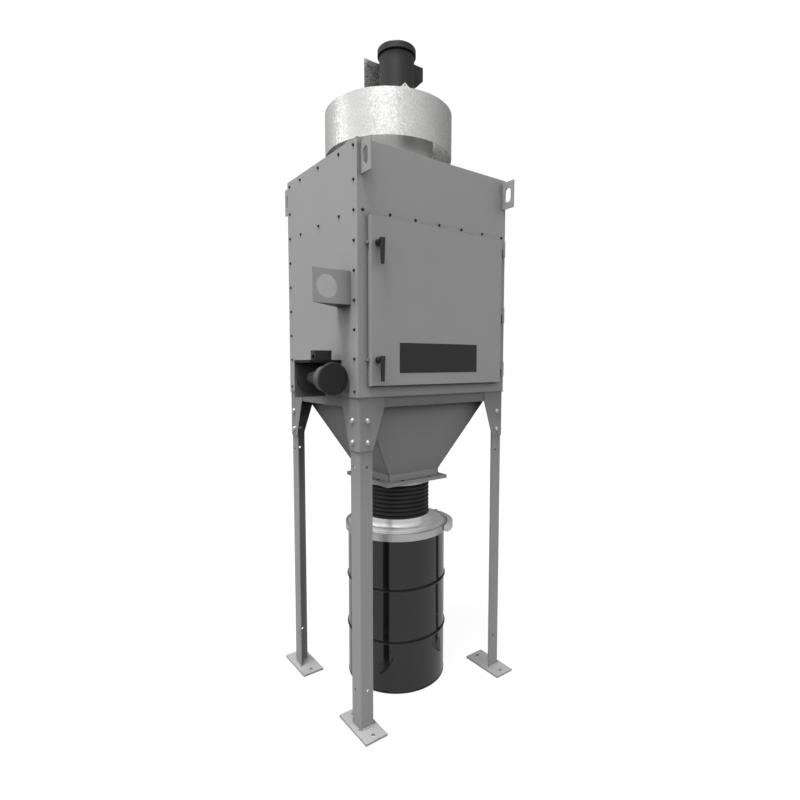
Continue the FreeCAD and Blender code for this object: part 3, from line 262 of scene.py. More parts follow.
def add_piece(name, shells, finish, body="machine", sharp=40.0):
    """Object of one or more closed shells, riding on a body; its points are merged at the poles
    and seams, its faces turned outwards and its edges kept sharp over the given angle."""
    counts = np.cumsum([0] + [len(shell[0]) for shell in shells])
    points = np.concatenate([shell[0] for shell in shells])
    faces = np.concatenate([shell[1] + start for shell, start in zip(shells, counts)])
    mesh = bpy.data.meshes.new(name)
    mesh.from_pydata(points.tolist(), [], faces.tolist())
    work = bmesh.new()
    work.from_mesh(mesh)
    bmesh.ops.remove_doubles(work, verts=work.verts, dist=1e-6)
    loose = [edge for edge in work.edges if not edge.link_faces]
    bmesh.ops.delete(work, geom=loose, context="EDGES")
    bmesh.ops.recalc_face_normals(work, faces=work.faces)
    work.to_mesh(mesh)
    work.free()
    mesh.polygons.foreach_set("use_smooth", np.ones(len(mesh.polygons), bool))
    mesh.set_sharp_from_angle(angle=math.radians(sharp))
    piece = bpy.data.objects.new(name, mesh)
    bpy.context.scene.collection.objects.link(piece)
    mesh.materials.append(FINISHES[finish])
    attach(piece, body)
    return piece


# Fasteners


def screw_shape(sizes):
    """Hexagon head on a round washer face."""
    washer, flats, top = sizes.screw_washer / 2, sizes.screw_flats, sizes.screw_height
    rim = 0.22 * top
    return hexagonal([(0, 0, 0), (washer, 0, 0), (washer, 0.6 * rim, 0), (0.92 * washer, rim, 0),
                      (0, rim, 1), (0, 0.85 * top, 1), (0.44 * flats, top, 0), (0, top, 0)], flats)


def edge_heights(sizes):
    """Heights of the screws down a panel: an even row, and one screw more at each end."""
    low, high = low_corner("left_panel")[2], high_corner("left_panel")[2]
    middle = (low + high) / 2 + sizes.side_row_lift
    row = middle + sizes.screw_pitch * np.arange(-3, 4)
    return np.concatenate([[low + sizes.screw_end], row, [high - sizes.screw_end]])


def side_screw_places(sizes, side):
    """Both edges of a side panel, its top row and the row beside the tube sheet."""
    low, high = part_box(side + "_panel")
    face = low[0] if side == "left" else high[0]
    heights = edge_heights(sizes)
    edge = high[1] - sizes.screw_edge
    edges = [(face, y, z) for y in (-edge, edge) for z in heights]
    rows = [(face, y, z) for z in (heights[-1], heights[-3])
            for y in (-sizes.side_row_pitch, 0.0, sizes.side_row_pitch)]
    return np.array(edges + rows), (math.copysign(1.0, face), 0.0, 0.0)


def front_screw_places(sizes):
    """Row above the door, at the height of the tube sheet."""
    face = low_corner("front_upper_panel")[1]
    row = sizes.front_row_pitch * np.arange(-3, 4)
    places = np.stack([row, np.full(7, face), np.full(7, edge_heights(sizes)[-3])], axis=1)
    return places, (0.0, -1.0, 0.0)


def back_screw_places(sizes):
    """Both edges of the back panel and a row at its top, its tube sheet and its bottom."""
    face = high_corner("back_panel")[1]
    heights = edge_heights(sizes)
    row = sizes.front_row_pitch * np.arange(-3, 4)
    edges = [(x, face, z) for x in (row[0], row[-1]) for z in heights]
    rows = [(x, face, z) for z in (heights[-1], heights[-3], heights[0]) for x in row[1:-1]]
    return np.array(edges + rows), (0.0, 1.0, 0.0)


class COLLECTOR_OT_panel_screws(bpy.types.Operator):
    """Add the black screws of the housing's panels"""

    bl_idname = "collector.panel_screws"
    bl_label = "Panel screws"

    def execute(self, context):
        sizes = context.scene.collector_pieces
        shape = screw_shape(sizes)
        groups = {"left_panel_screws": side_screw_places(sizes, "left"),
                  "right_panel_screws": side_screw_places(sizes, "right"),
                  "front_panel_screws": front_screw_places(sizes),
                  "back_panel_screws": back_screw_places(sizes)}
        for name, (places, direction) in groups.items():
            directions = np.broadcast_to(direction, places.shape)
            add_piece(name, [copies(shape, places, directions)], "screw")
        return {"FINISHED"}


def dome_shape(diameter, height, count=24):
    """Domed head about Z: r = R sin(u), z = h cos(u) over a short straight rim."""
    u = np.linspace(0, np.pi / 2, 8)
    rim = 0.18 * height
    profile = np.concatenate([[(0.0, 0.0), (diameter / 2, 0.0)],
                              np.stack([diameter / 2 * np.sin(u[::-1]),
                                        rim + (height - rim) * np.cos(u[::-1])], axis=1)])
    return turned(profile, count)


def washer_shape(diameter, bore, thickness, count=28):
    """Flat ring about Z with softened outer edges."""
    corners = [(bore / 2, 0), (diameter / 2, 0), (diameter / 2, thickness), (bore / 2, thickness)]
    return turned(soften(corners, (0, 0.0005, 0.0008, 0), 3), count)


def nut_shape(sizes):
    """Hexagon nut with the rounded end of its bolt standing out of it."""
    flats, height = sizes.nut_flats, sizes.nut_height
    bolt, chamfer = 0.0058, 0.001
    tip = height + 0.004
    return hexagonal([(0, 0, 0), (0.46 * flats, 0, 0), (0, 0.12 * height, 1),
                      (0, 0.88 * height, 1), (0.46 * flats, height, 0), (bolt, height, 0),
                      (bolt, tip - chamfer, 0), (bolt - chamfer, tip, 0), (0, tip, 0)], flats)


def hex_head_shape(sizes):
    """Plain hexagon head with a chamfered top."""
    flats, height = sizes.flange_bolt_flats, sizes.flange_bolt_height
    return hexagonal([(0, 0, 0), (0.47 * flats, 0, 0), (0, 0.0005, 1), (0, 0.82 * height, 1),
                      (0.45 * flats, height, 0), (0, height, 0)], flats)


def bracket_bolt_places(sizes):
    """Two bolts on each of the two outer faces of each leg bracket: places and directions."""
    half_x, half_y = low_corner("left_panel")[:2]
    top = high_corner("front_left_leg_bracket")[2]
    heights = (top - sizes.bolt_drop, top - sizes.bolt_drop - sizes.bolt_pitch)
    places, directions = [], []
    for x in (half_x, -half_x):
        for y in (half_y, -half_y):
            for z in heights:
                places.append((x, y - math.copysign(sizes.bolt_inset, y), z))
                directions.append((math.copysign(1.0, x), 0.0, 0.0))
                places.append((x - math.copysign(sizes.bolt_inset, x), y, z))
                directions.append((0.0, math.copysign(1.0, y), 0.0))
    return np.array(places), np.array(directions)


class COLLECTOR_OT_bracket_bolts(bpy.types.Operator):
    """Add the domed bolts, washers and nuts that hold the legs to their brackets"""

    bl_idname = "collector.bracket_bolts"
    bl_label = "Bracket bolts"

    def execute(self, context):
        sizes = context.scene.collector_pieces
        places, directions = bracket_bolt_places(sizes)
        dome = dome_shape(sizes.dome_diameter, sizes.dome_height)
        washer = washer_shape(sizes.washer_diameter, 0.4 * sizes.washer_diameter,
                              sizes.washer_thickness)
        heads = copies(dome, places + sizes.washer_thickness * directions, directions)
        add_piece("bracket_bolt_heads", [heads], "bolt")
        add_piece("bracket_washers", [copies(washer, places, directions)], "washer")
        inside = places - sizes.leg_wall * directions
        add_piece("bracket_nuts", [copies(nut_shape(sizes), inside, -directions)], "bolt")
        return {"FINISHED"}


class COLLECTOR_OT_flange_bolts(bpy.types.Operator):
    """Add the low bolts that hold the outlet plate under the hopper"""

    bl_idname = "collector.flange_bolts"
    bl_label = "Flange bolts"

    def execute(self, context):
        sizes = context.scene.collector_pieces
        far = high_corner("hopper_flange")[0] - sizes.flange_bolt_edge
        near = sizes.flange_bolt_offset
        spots = np.array([(far, near), (far, -near), (-far, near), (-far, -near),
                          (near, far), (-near, far), (near, -far), (-near, -far)])
        top = np.column_stack([spots, np.full(8, high_corner("hopper_flange")[2])])
        up = np.broadcast_to((0.0, 0.0, 1.0), top.shape)
        add_piece("flange_bolt_heads", [copies(hex_head_shape(sizes), top, up)], "screw")
        return {"FINISHED"}


# Door


def rounded_rectangle(low_x, high_x, low_z, high_z, radius, steps):
    """Outline of a rectangle with rounded corners, anticlockwise from its low corner."""
    corners = [(low_x, low_z), (high_x, low_z), (high_x, high_z), (low_x, high_z)]
    return soften(corners, (radius,) * 4, steps)


class COLLECTOR_OT_door_plate(bpy.types.Operator):
    """Add the bare dark plate on the door"""

    bl_idname = "collector.door_plate"
    bl_label = "Door plate"

    def execute(self, context):
        sizes = context.scene.collector_pieces
        low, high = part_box("door")
        middle_x = (low[0] + high[0]) / 2
        bottom = low[2] + sizes.plate_rise
        outline = rounded_rectangle(middle_x - sizes.plate_left, middle_x + sizes.plate_right,
                                    bottom, bottom + sizes.plate_height, radius=0.003, steps=5)
        first, last = outline.min(axis=0), outline.max(axis=0)
        centre, half = (first + last) / 2, (last - first) / 2
        thick, edge = sizes.plate_thickness, 0.0005
        # Rings from the middle of the back over the edge to the middle of the front: each is the
        # outline drawn in to a share of its size, at a depth in front of the door
        shares = np.array([0.0, 1.0, 1.0, 1.0, 0.0])[:, None]
        insets = np.array([0.0, 0.0, 0.0, edge, 0.0])[:, None]
        depths = np.array([0.0, 0.0, thick - edge, thick, thick])
        flat = centre + shares * (1 - insets / half) * (outline - centre)[:, None, :]
        front = np.broadcast_to(low[1] - depths, flat.shape[:2])
        points = np.stack([flat[..., 0], front, flat[..., 1]], axis=-1).reshape(-1, 3)
        shell = (points, grid_faces(len(outline), len(shares)))
        add_piece("door_plate", [shell], "plate", body="door_leaf")
        return {"FINISHED"}


class COLLECTOR_OT_door_seal(bpy.types.Operator):
    """Add the rubber seal on the back of the door"""

    bl_idname = "collector.door_seal"
    bl_label = "Door seal"

    def execute(self, context):
        sizes = context.scene.collector_pieces
        low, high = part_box("door")
        inset = sizes.seal_inset
        path = rounded_rectangle(low[0] + inset, high[0] - inset, low[2] + inset, high[2] - inset,
                                 radius=0.02, steps=9)
        ahead = np.roll(path, -1, axis=0) - np.roll(path, 1, axis=0)
        ahead /= np.linalg.norm(ahead, axis=1, keepdims=True)
        gap = 0.0003
        lift = low_corner("door_frame")[1] - high[1] - gap
        # Half round on its foot with a flattened crown: across by cos(u), up by sin(u) ^ 0.6
        u = np.linspace(0, np.pi, 9)
        profile = np.stack([sizes.seal_width / 2 * np.cos(u), lift * np.sin(u) ** 0.6], axis=1)
        back = np.full(len(path), high[1])
        line = np.stack([path[:, 0], back, path[:, 1]], axis=1)
        outward = np.stack([ahead[:, 1], np.zeros(len(path)), -ahead[:, 0]], axis=1)
        shell = carried(line, outward, (0.0, 1.0, 0.0), profile)
        add_piece("door_seal", [shell], "rubber", body="door_leaf")
        return {"FINISHED"}


# Hose, drum and beads


class COLLECTOR_OT_hose(bpy.types.Operator):
    """Put a smoothly ribbed hose in place of the plain one"""

    bl_idname = "collector.hose"
    bl_label = "Corrugated hose"

    def execute(self, context):
        sizes = context.scene.collector_pieces
        low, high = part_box("flexible_hose")
        crest = high[0]
        start = high_corner("lid_spigot")[2]
        end = low_corner("hose_clamp_band")[2]
        # Outside: r = crest - depth (1 - |cos(pi n s)|^0.8), with s from 0 to 1 between the cuffs
        s = np.linspace(0, 1, 16 * sizes.hose_ribs + 1)
        wave = 1 - np.abs(np.cos(np.pi * sizes.hose_ribs * s)) ** 0.8
        ribbed = np.stack([crest - sizes.hose_depth * wave, start + (end - start) * s], axis=1)
        bore = crest - sizes.hose_depth - sizes.hose_wall
        profile = np.concatenate([[(bore, low[2]), (crest, low[2])], ribbed,
                                  [(crest, high[2]), (bore, high[2])]])
        hose = add_piece("ribbed_hose", [turned(profile, 160)], "hose", sharp=60.0)
        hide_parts("flexible_hose")
        return {"FINISHED"}


def drum_profile(sizes):
    """Section of the drum (r, z) with its raised floor, chime, two hoops and curled rim."""
    crest, high = high_corner("drum")[0], high_corner("drum")[2]
    radius = sizes.drum_radius
    inside = radius - sizes.drum_wall
    floor_low, floor_high = 0.012, 0.015
    chime, chime_top = radius + 0.002, 0.010
    hoop_foot, hoop_top = 0.010, 0.004
    rim, rim_foot, shoulder = crest - 0.0005, high - 0.009, high - 0.0155
    hoops = []
    for z in (sizes.hoop_spacing, 2 * sizes.hoop_spacing):
        hoops += [((radius, z - hoop_foot), 0.005), ((crest, z - hoop_top), 0.004),
                  ((crest, z + hoop_top), 0.004), ((radius, z + hoop_foot), 0.005)]
    # Corners of the section, each with the radius that it is rounded to
    marks = [((0.0, floor_low), 0.0), ((inside, floor_low), 0.002), ((inside, 0.0), 0.001),
             ((chime, 0.0), 0.0015), ((chime, chime_top), 0.003), ((radius, floor_high), 0.004),
             *hoops, ((radius, shoulder), 0.004), ((rim, rim_foot), 0.004), ((rim, high), 0.003),
             ((inside, high), 0.001), ((inside, floor_high), 0.004), ((0.0, floor_high), 0.0)]
    corners, bends = zip(*marks)
    return soften(corners, bends, 6)


class COLLECTOR_OT_drum(bpy.types.Operator):
    """Put a drum with rounded hoops and chime in place of the plain one"""

    bl_idname = "collector.drum"
    bl_label = "Drum"

    def execute(self, context):
        sizes = context.scene.collector_pieces
        drum = add_piece("rolled_drum", [turned(drum_profile(sizes), 224)], "drum", sharp=70.0)
        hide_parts("drum")
        return {"FINISHED"}


def bead(start, end, width, side_a, side_b):
    """Weld bead in the corner between two directions: a quarter-round rope along a line, whose
    radius swells and shrinks by a twelfth at each ripple."""
    start, end = np.asarray(start, float), np.asarray(end, float)
    length = np.linalg.norm(end - start)
    step, ripple = 0.003, 0.012
    rows = max(int(length / step), 8)
    t = np.linspace(0, 1, rows)[:, None, None]
    swell = width * (1 + np.sin(2 * np.pi * t * length / ripple) / 12)
    u = np.linspace(0, np.pi / 2, 5)[None, :, None]
    arc = np.cos(u) * np.asarray(side_a, float) + np.sin(u) * np.asarray(side_b, float)
    section = np.concatenate([np.zeros((1, 1, 3)), arc], axis=1)
    columns = section.shape[1]
    points = start + t * (end - start) + swell * section
    side = grid_faces(rows, columns, False, True)
    first = np.array([[0, 1, 2, 3], [0, 3, 4, 5]])
    last = (rows - 1) * columns + first[:, ::-1]
    return points.reshape(-1, 3), np.concatenate([side, first, last])


class COLLECTOR_OT_foot_beads(bpy.types.Operator):
    """Add the weld beads between each leg and its foot plate"""

    bl_idname = "collector.foot_beads"
    bl_label = "Foot welds"

    def execute(self, context):
        sizes = context.scene.collector_pieces
        width, leg_bend = sizes.bead_width, 0.010
        up = (0.0, 0.0, 1.0)
        for corner in CORNERS:
            low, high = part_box(corner + "_leg")
            sx, sy = math.copysign(1.0, low[0]), math.copysign(1.0, low[1])
            x, far_x = (low[0], high[0]) if sx < 0 else (high[0], low[0])
            y, far_y = (low[1], high[1]) if sy < 0 else (high[1], low[1])
            z = low[2]
            shells = [bead((x, y - sy * leg_bend, z), (x, far_y, z), width, (sx, 0.0, 0.0), up),
                      bead((x - sx * leg_bend, y, z), (far_x, y, z), width, (0.0, sy, 0.0), up)]
            add_piece(corner + "_foot_weld", shells, "leg")
        return {"FINISHED"}


def rod(start, end, radius, count=10):
    """Plain round rod from one point to another: the profile of its half section turned about Z,
    and its Z then laid along the line."""
    run = np.asarray(end, float) - np.asarray(start, float)
    length = np.linalg.norm(run)
    section = np.array([(0.0, 0.0), (radius, 0.0), (radius, length), (0.0, length)])
    return copies(turned(section, count), [start], [run / length])


class COLLECTOR_OT_hopper_seams(bpy.types.Operator):
    """Add the fine seams down the hopper's corners, coloured near black as painted shade"""

    bl_idname = "collector.hopper_seams"
    bl_label = "Hopper seams"

    def execute(self, context):
        sizes = context.scene.collector_pieces
        low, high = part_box("hopper")
        half, bottom = sizes.throat_half, low[2]
        shells = []
        for sx, sy in ((-1, -1), (1, -1), (1, 1), (-1, 1)):
            knee = (sx * half, sy * half, bottom + sizes.throat_height)
            shells.append(rod((sx * high[0], sy * high[1], high[2]), knee, sizes.seam_radius))
            shells.append(rod(knee, (sx * half, sy * half, bottom), sizes.seam_radius))
        # The seams' near-black finish is painted shade along the corners
        add_piece("hopper_seams", shells, "seam")
        return {"FINISHED"}


# Finishes


class FinishSizes(bpy.types.PropertyGroup):
    """Colours and gloss of the coats and bare metals."""

    housing_colour: colour_setting(
        "Housing paint", "Grey enamel of the housing, legs and hopper", (0.400, 0.400, 0.400))
    housing_roughness: share_setting(
        "Housing roughness", "Gloss of the grey enamel, 0 for a mirror", 0.46)
    zinc_colour: colour_setting(
        "Zinc", "Spangled zinc of the silencer and the fan motor's mount", (0.80, 0.80, 0.79))
    fitting_colour: colour_setting(
        "Fittings", "Smooth zinc of the band round the hose's upper end", (0.58, 0.58, 0.575))
    lever_colour: colour_setting("Lever", "Dull zinc of the clamp ring's lever", (0.95, 0.95, 0.95))
    foot_colour: colour_setting("Foot plates", "Matt zinc of the foot plates", (0.49, 0.49, 0.49))
    drum_colour: colour_setting(
        "Drum enamel", "Gloss black enamel of the drum", (0.006, 0.006, 0.007))
    motor_colour: colour_setting(
        "Motor paint", "Satin black paint of both motors", (0.022, 0.022, 0.023))
    hose_colour: colour_setting(
        "Hose rubber", "Black rubber of the corrugated hose", (0.01, 0.01, 0.01))
    plate_colour: colour_setting(
        "Door plate", "Dark anodised plate on the door", (0.016, 0.016, 0.016))
    mount_colour: colour_setting(
        "Shaker mount", "Dark paint of the shelf that carries the shaker motor", (0.19, 0.19, 0.191))
    fan_colour: colour_setting(
        "Fan housing", "Matt zinc of the round fan housing inside the silencer", (0.75, 0.75, 0.74))
    lid_colour: colour_setting(
        "Lid", "Bright zinc of the drum's lid and its spigot", (0.97, 0.97, 0.96))
    ring_colour: colour_setting("Clamp ring", "Zinc of the ring round the lid", (0.62, 0.62, 0.62))
    # Painted shade: how strongly the grey enamel's colour is darkened in sheltered corners
    corner_painted_shade: light_setting(
        "Corner painted shade", "How fast the grey enamel darkens in sheltered corners", 0.5)
    bounce_share: share_setting(
        "Bounce share", "Share of a surface's colour in what it lights nearby", 0.25)


def new_group(name, inputs, outputs):
    """Empty shader group, what it is given and its results; inputs are (name, kind, default)."""
    group = bpy.data.node_groups.new(name, "ShaderNodeTree")
    for label, kind, default in inputs:
        socket = group.interface.new_socket(label, in_out="INPUT", socket_type="NodeSocket" + kind)
        socket.default_value = default
    for label, kind in outputs:
        group.interface.new_socket(label, in_out="OUTPUT", socket_type="NodeSocket" + kind)
    return (group, group.nodes.new("NodeGroupInput").outputs,
            group.nodes.new("NodeGroupOutput").inputs)


def feed(tree, socket, source):
    """Gives a socket a number or three numbers, or links an output to it."""
    if isinstance(source, (int, float, tuple)):
        socket.default_value = source
    else:
        tree.links.new(source, socket)


def noise(tree, vector, scale, detail, roughness=0.5):
    """Noise texture on the given coordinates."""
    node = tree.nodes.new("ShaderNodeTexNoise")
    for label, source in (("Vector", vector), ("Scale", scale), ("Detail", detail),
                          ("Roughness", roughness)):
        feed(tree, node.inputs[label], source)
    return node.outputs["Fac"]


def calculate(tree, operation, first, second, clamp=False):
    """Math node; each operand is a socket or a number."""
    node = tree.nodes.new("ShaderNodeMath")
    node.operation = operation
    node.use_clamp = clamp
    feed(tree, node.inputs[0], first)
    feed(tree, node.inputs[1], second)
    return node.outputs[0]


def multiply(tree, first, second, clamp=False):
    """Product of two numbers."""
    return calculate(tree, "MULTIPLY", first, second, clamp)


def combine(tree, operation, *operands):
    """Vector Math node; an operand is a socket or three numbers."""
    node = tree.nodes.new("ShaderNodeVectorMath")
    node.operation = operation
    for socket, operand in zip(node.inputs, operands):
        feed(tree, socket, operand)
    return node.outputs["Value" if operation in ("DOT_PRODUCT", "LENGTH") else "Vector"]


def scale_vector(tree, vector, factor):
    """Vector or colour times a number."""
    node = tree.nodes.new("ShaderNodeVectorMath")
    node.operation = "SCALE"
    tree.links.new(vector, node.inputs[0])
    tree.links.new(factor, node.inputs["Scale"])
    return node.outputs["Vector"]


def remap(tree, source, low, high, new_low, new_high):
    """Straight-line change of range, clamped."""
    node = tree.nodes.new("ShaderNodeMapRange")
    for label, end in (("Value", source), ("From Min", low), ("From Max", high),
                       ("To Min", new_low), ("To Max", new_high)):
        feed(tree, node.inputs[label], end)
    return node.outputs["Result"]


def surface_normal(tree):
    """Normal of the surface, without any bump."""
    return tree.nodes.new("ShaderNodeNewGeometry").outputs["Normal"]


def object_place(tree):
    """Object coordinates of a surface point."""
    return tree.nodes.new("ShaderNodeTexCoord").outputs["Object"]


def parts_of(tree, vector):
    """The parts of a vector, as outputs named X, Y and Z."""
    node = tree.nodes.new("ShaderNodeSeparateXYZ")
    tree.links.new(vector, node.inputs["Vector"])
    return node.outputs


def mix_colour(tree, factor, first, second):
    """Mix of two colour sockets; factor 0 gives the first."""
    node = tree.nodes.new("ShaderNodeMix")
    node.data_type = "RGBA"
    tree.links.new(factor, node.inputs["Factor"])
    for label, colour in (("A", first), ("B", second)):
        socket = next(s for s in node.inputs if s.name == label and s.type == "RGBA")
        tree.links.new(colour, socket)
    return next(s for s in node.outputs if s.type == "RGBA")


def build_enamel_group():
    """Sprayed enamel: orange peel in the height, faint cloudy change of tone and gloss."""
    group, given, result = new_group(
        "sprayed_enamel",
        [("Colour", "Color", (0.3, 0.3, 0.3, 1)), ("Roughness", "Float", 0.4),
         ("Peel Scale", "Float", 420.0), ("Cloud Depth", "Float", 0.05)],
        [("Colour", "Color"), ("Roughness", "Float"), ("Height", "Float")])
    place = object_place(group)
    feed(group, result["Height"], noise(group, place, given["Peel Scale"], 2.0))
    cloud = calculate(group, "SUBTRACT", noise(group, place, 3.5, 4.0, 0.6), 0.5)
    spread = multiply(group, multiply(group, cloud, given["Cloud Depth"]), 2.0)
    tone = calculate(group, "ADD", 1.0, spread)
    feed(group, result["Colour"], scale_vector(group, given["Colour"], tone))
    streak = calculate(group, "SUBTRACT", noise(group, place, 28.0, 3.0, 0.55), 0.5)
    gloss = multiply(group, streak, 0.16)
    feed(group, result["Roughness"], calculate(group, "ADD", given["Roughness"], gloss, True))
    return group


def build_spangle_group():
    """Zinc spangle: crystal cells, each with its own tilt, gloss and slight change of tone.

    The normal is N + tilt (c - 0.5), with c a colour that is random from cell to cell.
    """
    group, given, result = new_group(
        "zinc_spangle",
        [("Colour", "Color", (0.7, 0.7, 0.7, 1)), ("Roughness", "Float", 0.35),
         ("Cell Scale", "Float", 140.0), ("Contrast", "Float", 0.1), ("Tilt", "Float", 0.1)],
        [("Colour", "Color"), ("Roughness", "Float"), ("Normal", "Vector")])
    place = object_place(group)
    cells = group.nodes.new("ShaderNodeTexVoronoi")
    feed(group, cells.inputs["Vector"], place)
    feed(group, cells.inputs["Scale"], given["Cell Scale"])
    split = group.nodes.new("ShaderNodeSeparateColor")
    feed(group, split.inputs["Color"], cells.outputs["Color"])
    darkest = calculate(group, "SUBTRACT", 1.0, given["Contrast"])
    tone = remap(group, split.outputs["Red"], 0.0, 1.0, darkest, 1.0)
    cloud = remap(group, noise(group, place, 5.0, 4.0, 0.6), 0.3, 0.7, 0.93, 1.03)
    shade = multiply(group, tone, cloud)
    feed(group, result["Colour"], scale_vector(group, given["Colour"], shade))
    gloss = multiply(group, calculate(group, "SUBTRACT", split.outputs["Green"], 0.5),
                     multiply(group, given["Contrast"], 1.6))
    feed(group, result["Roughness"], calculate(group, "ADD", given["Roughness"], gloss, True))
    lean = combine(group, "SUBTRACT", cells.outputs["Color"], (0.5, 0.5, 0.5))
    tilted = combine(group, "ADD", surface_normal(group), scale_vector(group, lean, given["Tilt"]))
    feed(group, result["Normal"], combine(group, "NORMALIZE", tilted))
    return group


def build_dust_group():
    """Fine dust that settles on upward faces, thicker where a slow noise is high."""
    group, given, result = new_group(
        "settled_dust",
        [("Colour", "Color", (0.3, 0.3, 0.3, 1)), ("Dust", "Color", (0.42, 0.40, 0.37, 1)),
         ("Amount", "Float", 0.15)],
        [("Colour", "Color")])
    slow = noise(group, object_place(group), 9.0, 5.0, 0.62)
    cloud = remap(group, slow, 0.3, 0.7, 0.2, 1.0)
    upward = remap(group, parts_of(group, surface_normal(group))["Z"], 0.55, 0.98, 0.0, 1.0)
    mask = multiply(group, multiply(group, cloud, upward), given["Amount"], True)
    feed(group, result["Colour"], mix_colour(group, mask, given["Colour"], given["Dust"]))
    return group


def build_painted_shade_group():
    """Painted shade where a surface is sheltered: in corners, and in a band that thins out
    downwards.

    The mask is the larger of Corner times 1 minus the part of the sky that is free within Reach,
    and Band times t², with t going from 0 at the band's foot to 1 at its top; faint streaks run
    down it. The colour is multiplied by 1 - 0.8 mask.
    """
    group, given, result = new_group(
        "sheltered_painted_shade",
        [("Colour", "Color", (0.3, 0.3, 0.3, 1)), ("Corner", "Float", 1.0),
         ("Reach", "Float", 0.12), ("Band", "Float", 0.0), ("Band Foot", "Float", 0.0),
         ("Band Top", "Float", 1.0)],
        [("Colour", "Color")])
    free = group.nodes.new("ShaderNodeAmbientOcclusion")
    free.samples = 8
    feed(group, free.inputs["Distance"], given["Reach"])
    hidden = calculate(group, "SUBTRACT", 1.0, free.outputs["AO"])
    corner = multiply(group, hidden, given["Corner"], True)
    place = object_place(group)
    drop = remap(group, parts_of(group, place)["Z"], given["Band Foot"], given["Band Top"],
                 0.0, 1.0)
    upright = combine(group, "MULTIPLY", place, (30.0, 30.0, 1.2))
    streak = remap(group, noise(group, upright, 1.0, 2.0), 0.3, 0.7, 0.92, 1.0)
    band = multiply(group, multiply(group, drop, drop), streak)
    band = multiply(group, band, given["Band"], True)
    mask = calculate(group, "MAXIMUM", corner, band, True)
    kept = calculate(group, "SUBTRACT", 1.0, multiply(group, mask, 0.8))
    feed(group, result["Colour"], scale_vector(group, given["Colour"], kept))
    return group


def add_group(material, group, **values):
    """Places a shader group in a material and sets its unlinked inputs."""
    node = material.node_tree.nodes.new("ShaderNodeGroup")
    node.node_tree = group
    for label, setting in values.items():
        socket = node.inputs[label.replace("_", " ")]
        socket.default_value = (*setting, 1.0) if isinstance(setting, tuple) else setting
    return node


def start_material(name, metallic=0.0, **constants):
    """Empty node material with one Principled shader; constants are socket values."""
    material = bpy.data.materials.new(name)
    material.use_nodes = True
    shader = material.node_tree.nodes["Principled BSDF"]
    shader.inputs["Metallic"].default_value = metallic
    for label, setting in constants.items():
        shader.inputs[label.replace("_", " ")].default_value = setting
    return material, shader


def link_bump(material, shader, height, strength, distance):
    """Bump node between a height and the shader's normal."""
    bump = material.node_tree.nodes.new("ShaderNodeBump")
    bump.inputs["Strength"].default_value = strength
    bump.inputs["Distance"].default_value = distance
    material.node_tree.links.new(height, bump.inputs["Height"])
    material.node_tree.links.new(bump.outputs["Normal"], shader.inputs["Normal"])


def scale_base(material, factor):
    """Multiplies the base colour by a number that changes over the surface."""
    tree = material.node_tree
    target = tree.nodes["Principled BSDF"].inputs["Base Color"]
    tree.links.new(scale_vector(tree, target.links[0].from_socket, factor), target)


def scale_step(material, axis, place, before, after, half_width=0.001):
    """Multiplies the base colour by one number before a place along an axis, in metres, and by
    another after it, over a short change between them."""
    tree = material.node_tree
    along = parts_of(tree, object_place(tree))[axis]
    scale_base(material, remap(tree, along, place - half_width, place + half_width, before, after))


def dim_bounce(material, share):
    """Weakens the light that a surface passes on to matt surfaces near it, as where the walls of a
    studio are far off: its colour is multiplied by the share for diffuse rays alone."""
    tree = material.node_tree
    path = tree.nodes.new("ShaderNodeLightPath").outputs["Is Diffuse Ray"]
    scale_base(material, remap(tree, path, 0.0, 1.0, 1.0, share))


def distance_from_axis(material, centre):
    """Distance of a surface point from an upright axis."""
    tree = material.node_tree
    off = combine(tree, "SUBTRACT", object_place(tree), (centre[0], centre[1], 0.0))
    return combine(tree, "LENGTH", combine(tree, "MULTIPLY", off, (1.0, 1.0, 0.0)))


def make_enamel(name, groups, colour, roughness, peel, bump, cloud=0.05, dust=0.12,
                corner=0.0, band=None, **constants):
    """Sprayed enamel with a little dust on its upward faces and painted shade where it is
    sheltered; the band of painted shade is (amount, foot, top)."""
    material, shader = start_material(name, **constants)
    links = material.node_tree.links
    coat = add_group(material, groups["enamel"], Colour=tuple(colour), Roughness=roughness,
                     Peel_Scale=peel, Cloud_Depth=cloud)
    settled = add_group(material, groups["dust"], Amount=dust)
    links.new(coat.outputs["Colour"], settled.inputs["Colour"])
    links.new(settled.outputs["Colour"], shader.inputs["Base Color"])
    # Painted shade: the colour is darkened in sheltered corners and in the band
    if corner:
        amount, foot, top = band or (0.0, 0.0, 1.0)
        sheltered = add_group(material, groups["painted_shade"], Corner=corner, Band=amount,
                              Band_Foot=foot, Band_Top=top)
        links.new(settled.outputs["Colour"], sheltered.inputs["Colour"])
        links.new(sheltered.outputs["Colour"], shader.inputs["Base Color"])
    links.new(coat.outputs["Roughness"], shader.inputs["Roughness"])
    link_bump(material, shader, coat.outputs["Height"], bump, 0.0004)
    return material


def make_zinc(name, groups, colour, roughness, cell, contrast, tilt, metallic=0.92):
    """Spangled zinc coat on sheet steel."""
    material, shader = start_material(name, metallic=metallic)
    coat = add_group(material, groups["spangle"], Colour=tuple(colour), Roughness=roughness,
                     Cell_Scale=cell, Contrast=contrast, Tilt=tilt)
    for label, target in (("Colour", "Base Color"), ("Roughness", "Roughness"),
                          ("Normal", "Normal")):
        material.node_tree.links.new(coat.outputs[label], shader.inputs[target])
    return material


# Spangled sheet zinc: its gloss, the crystals in a metre, and how far they differ and lean
SHEET = {"roughness": 0.34, "cell": 150.0, "contrast": 0.10, "tilt": 0.22}
# The roof and the fan housing light each other under the silencer, so their bounce stays whole
FULL_BOUNCE = ("roof", "zinc_fan")


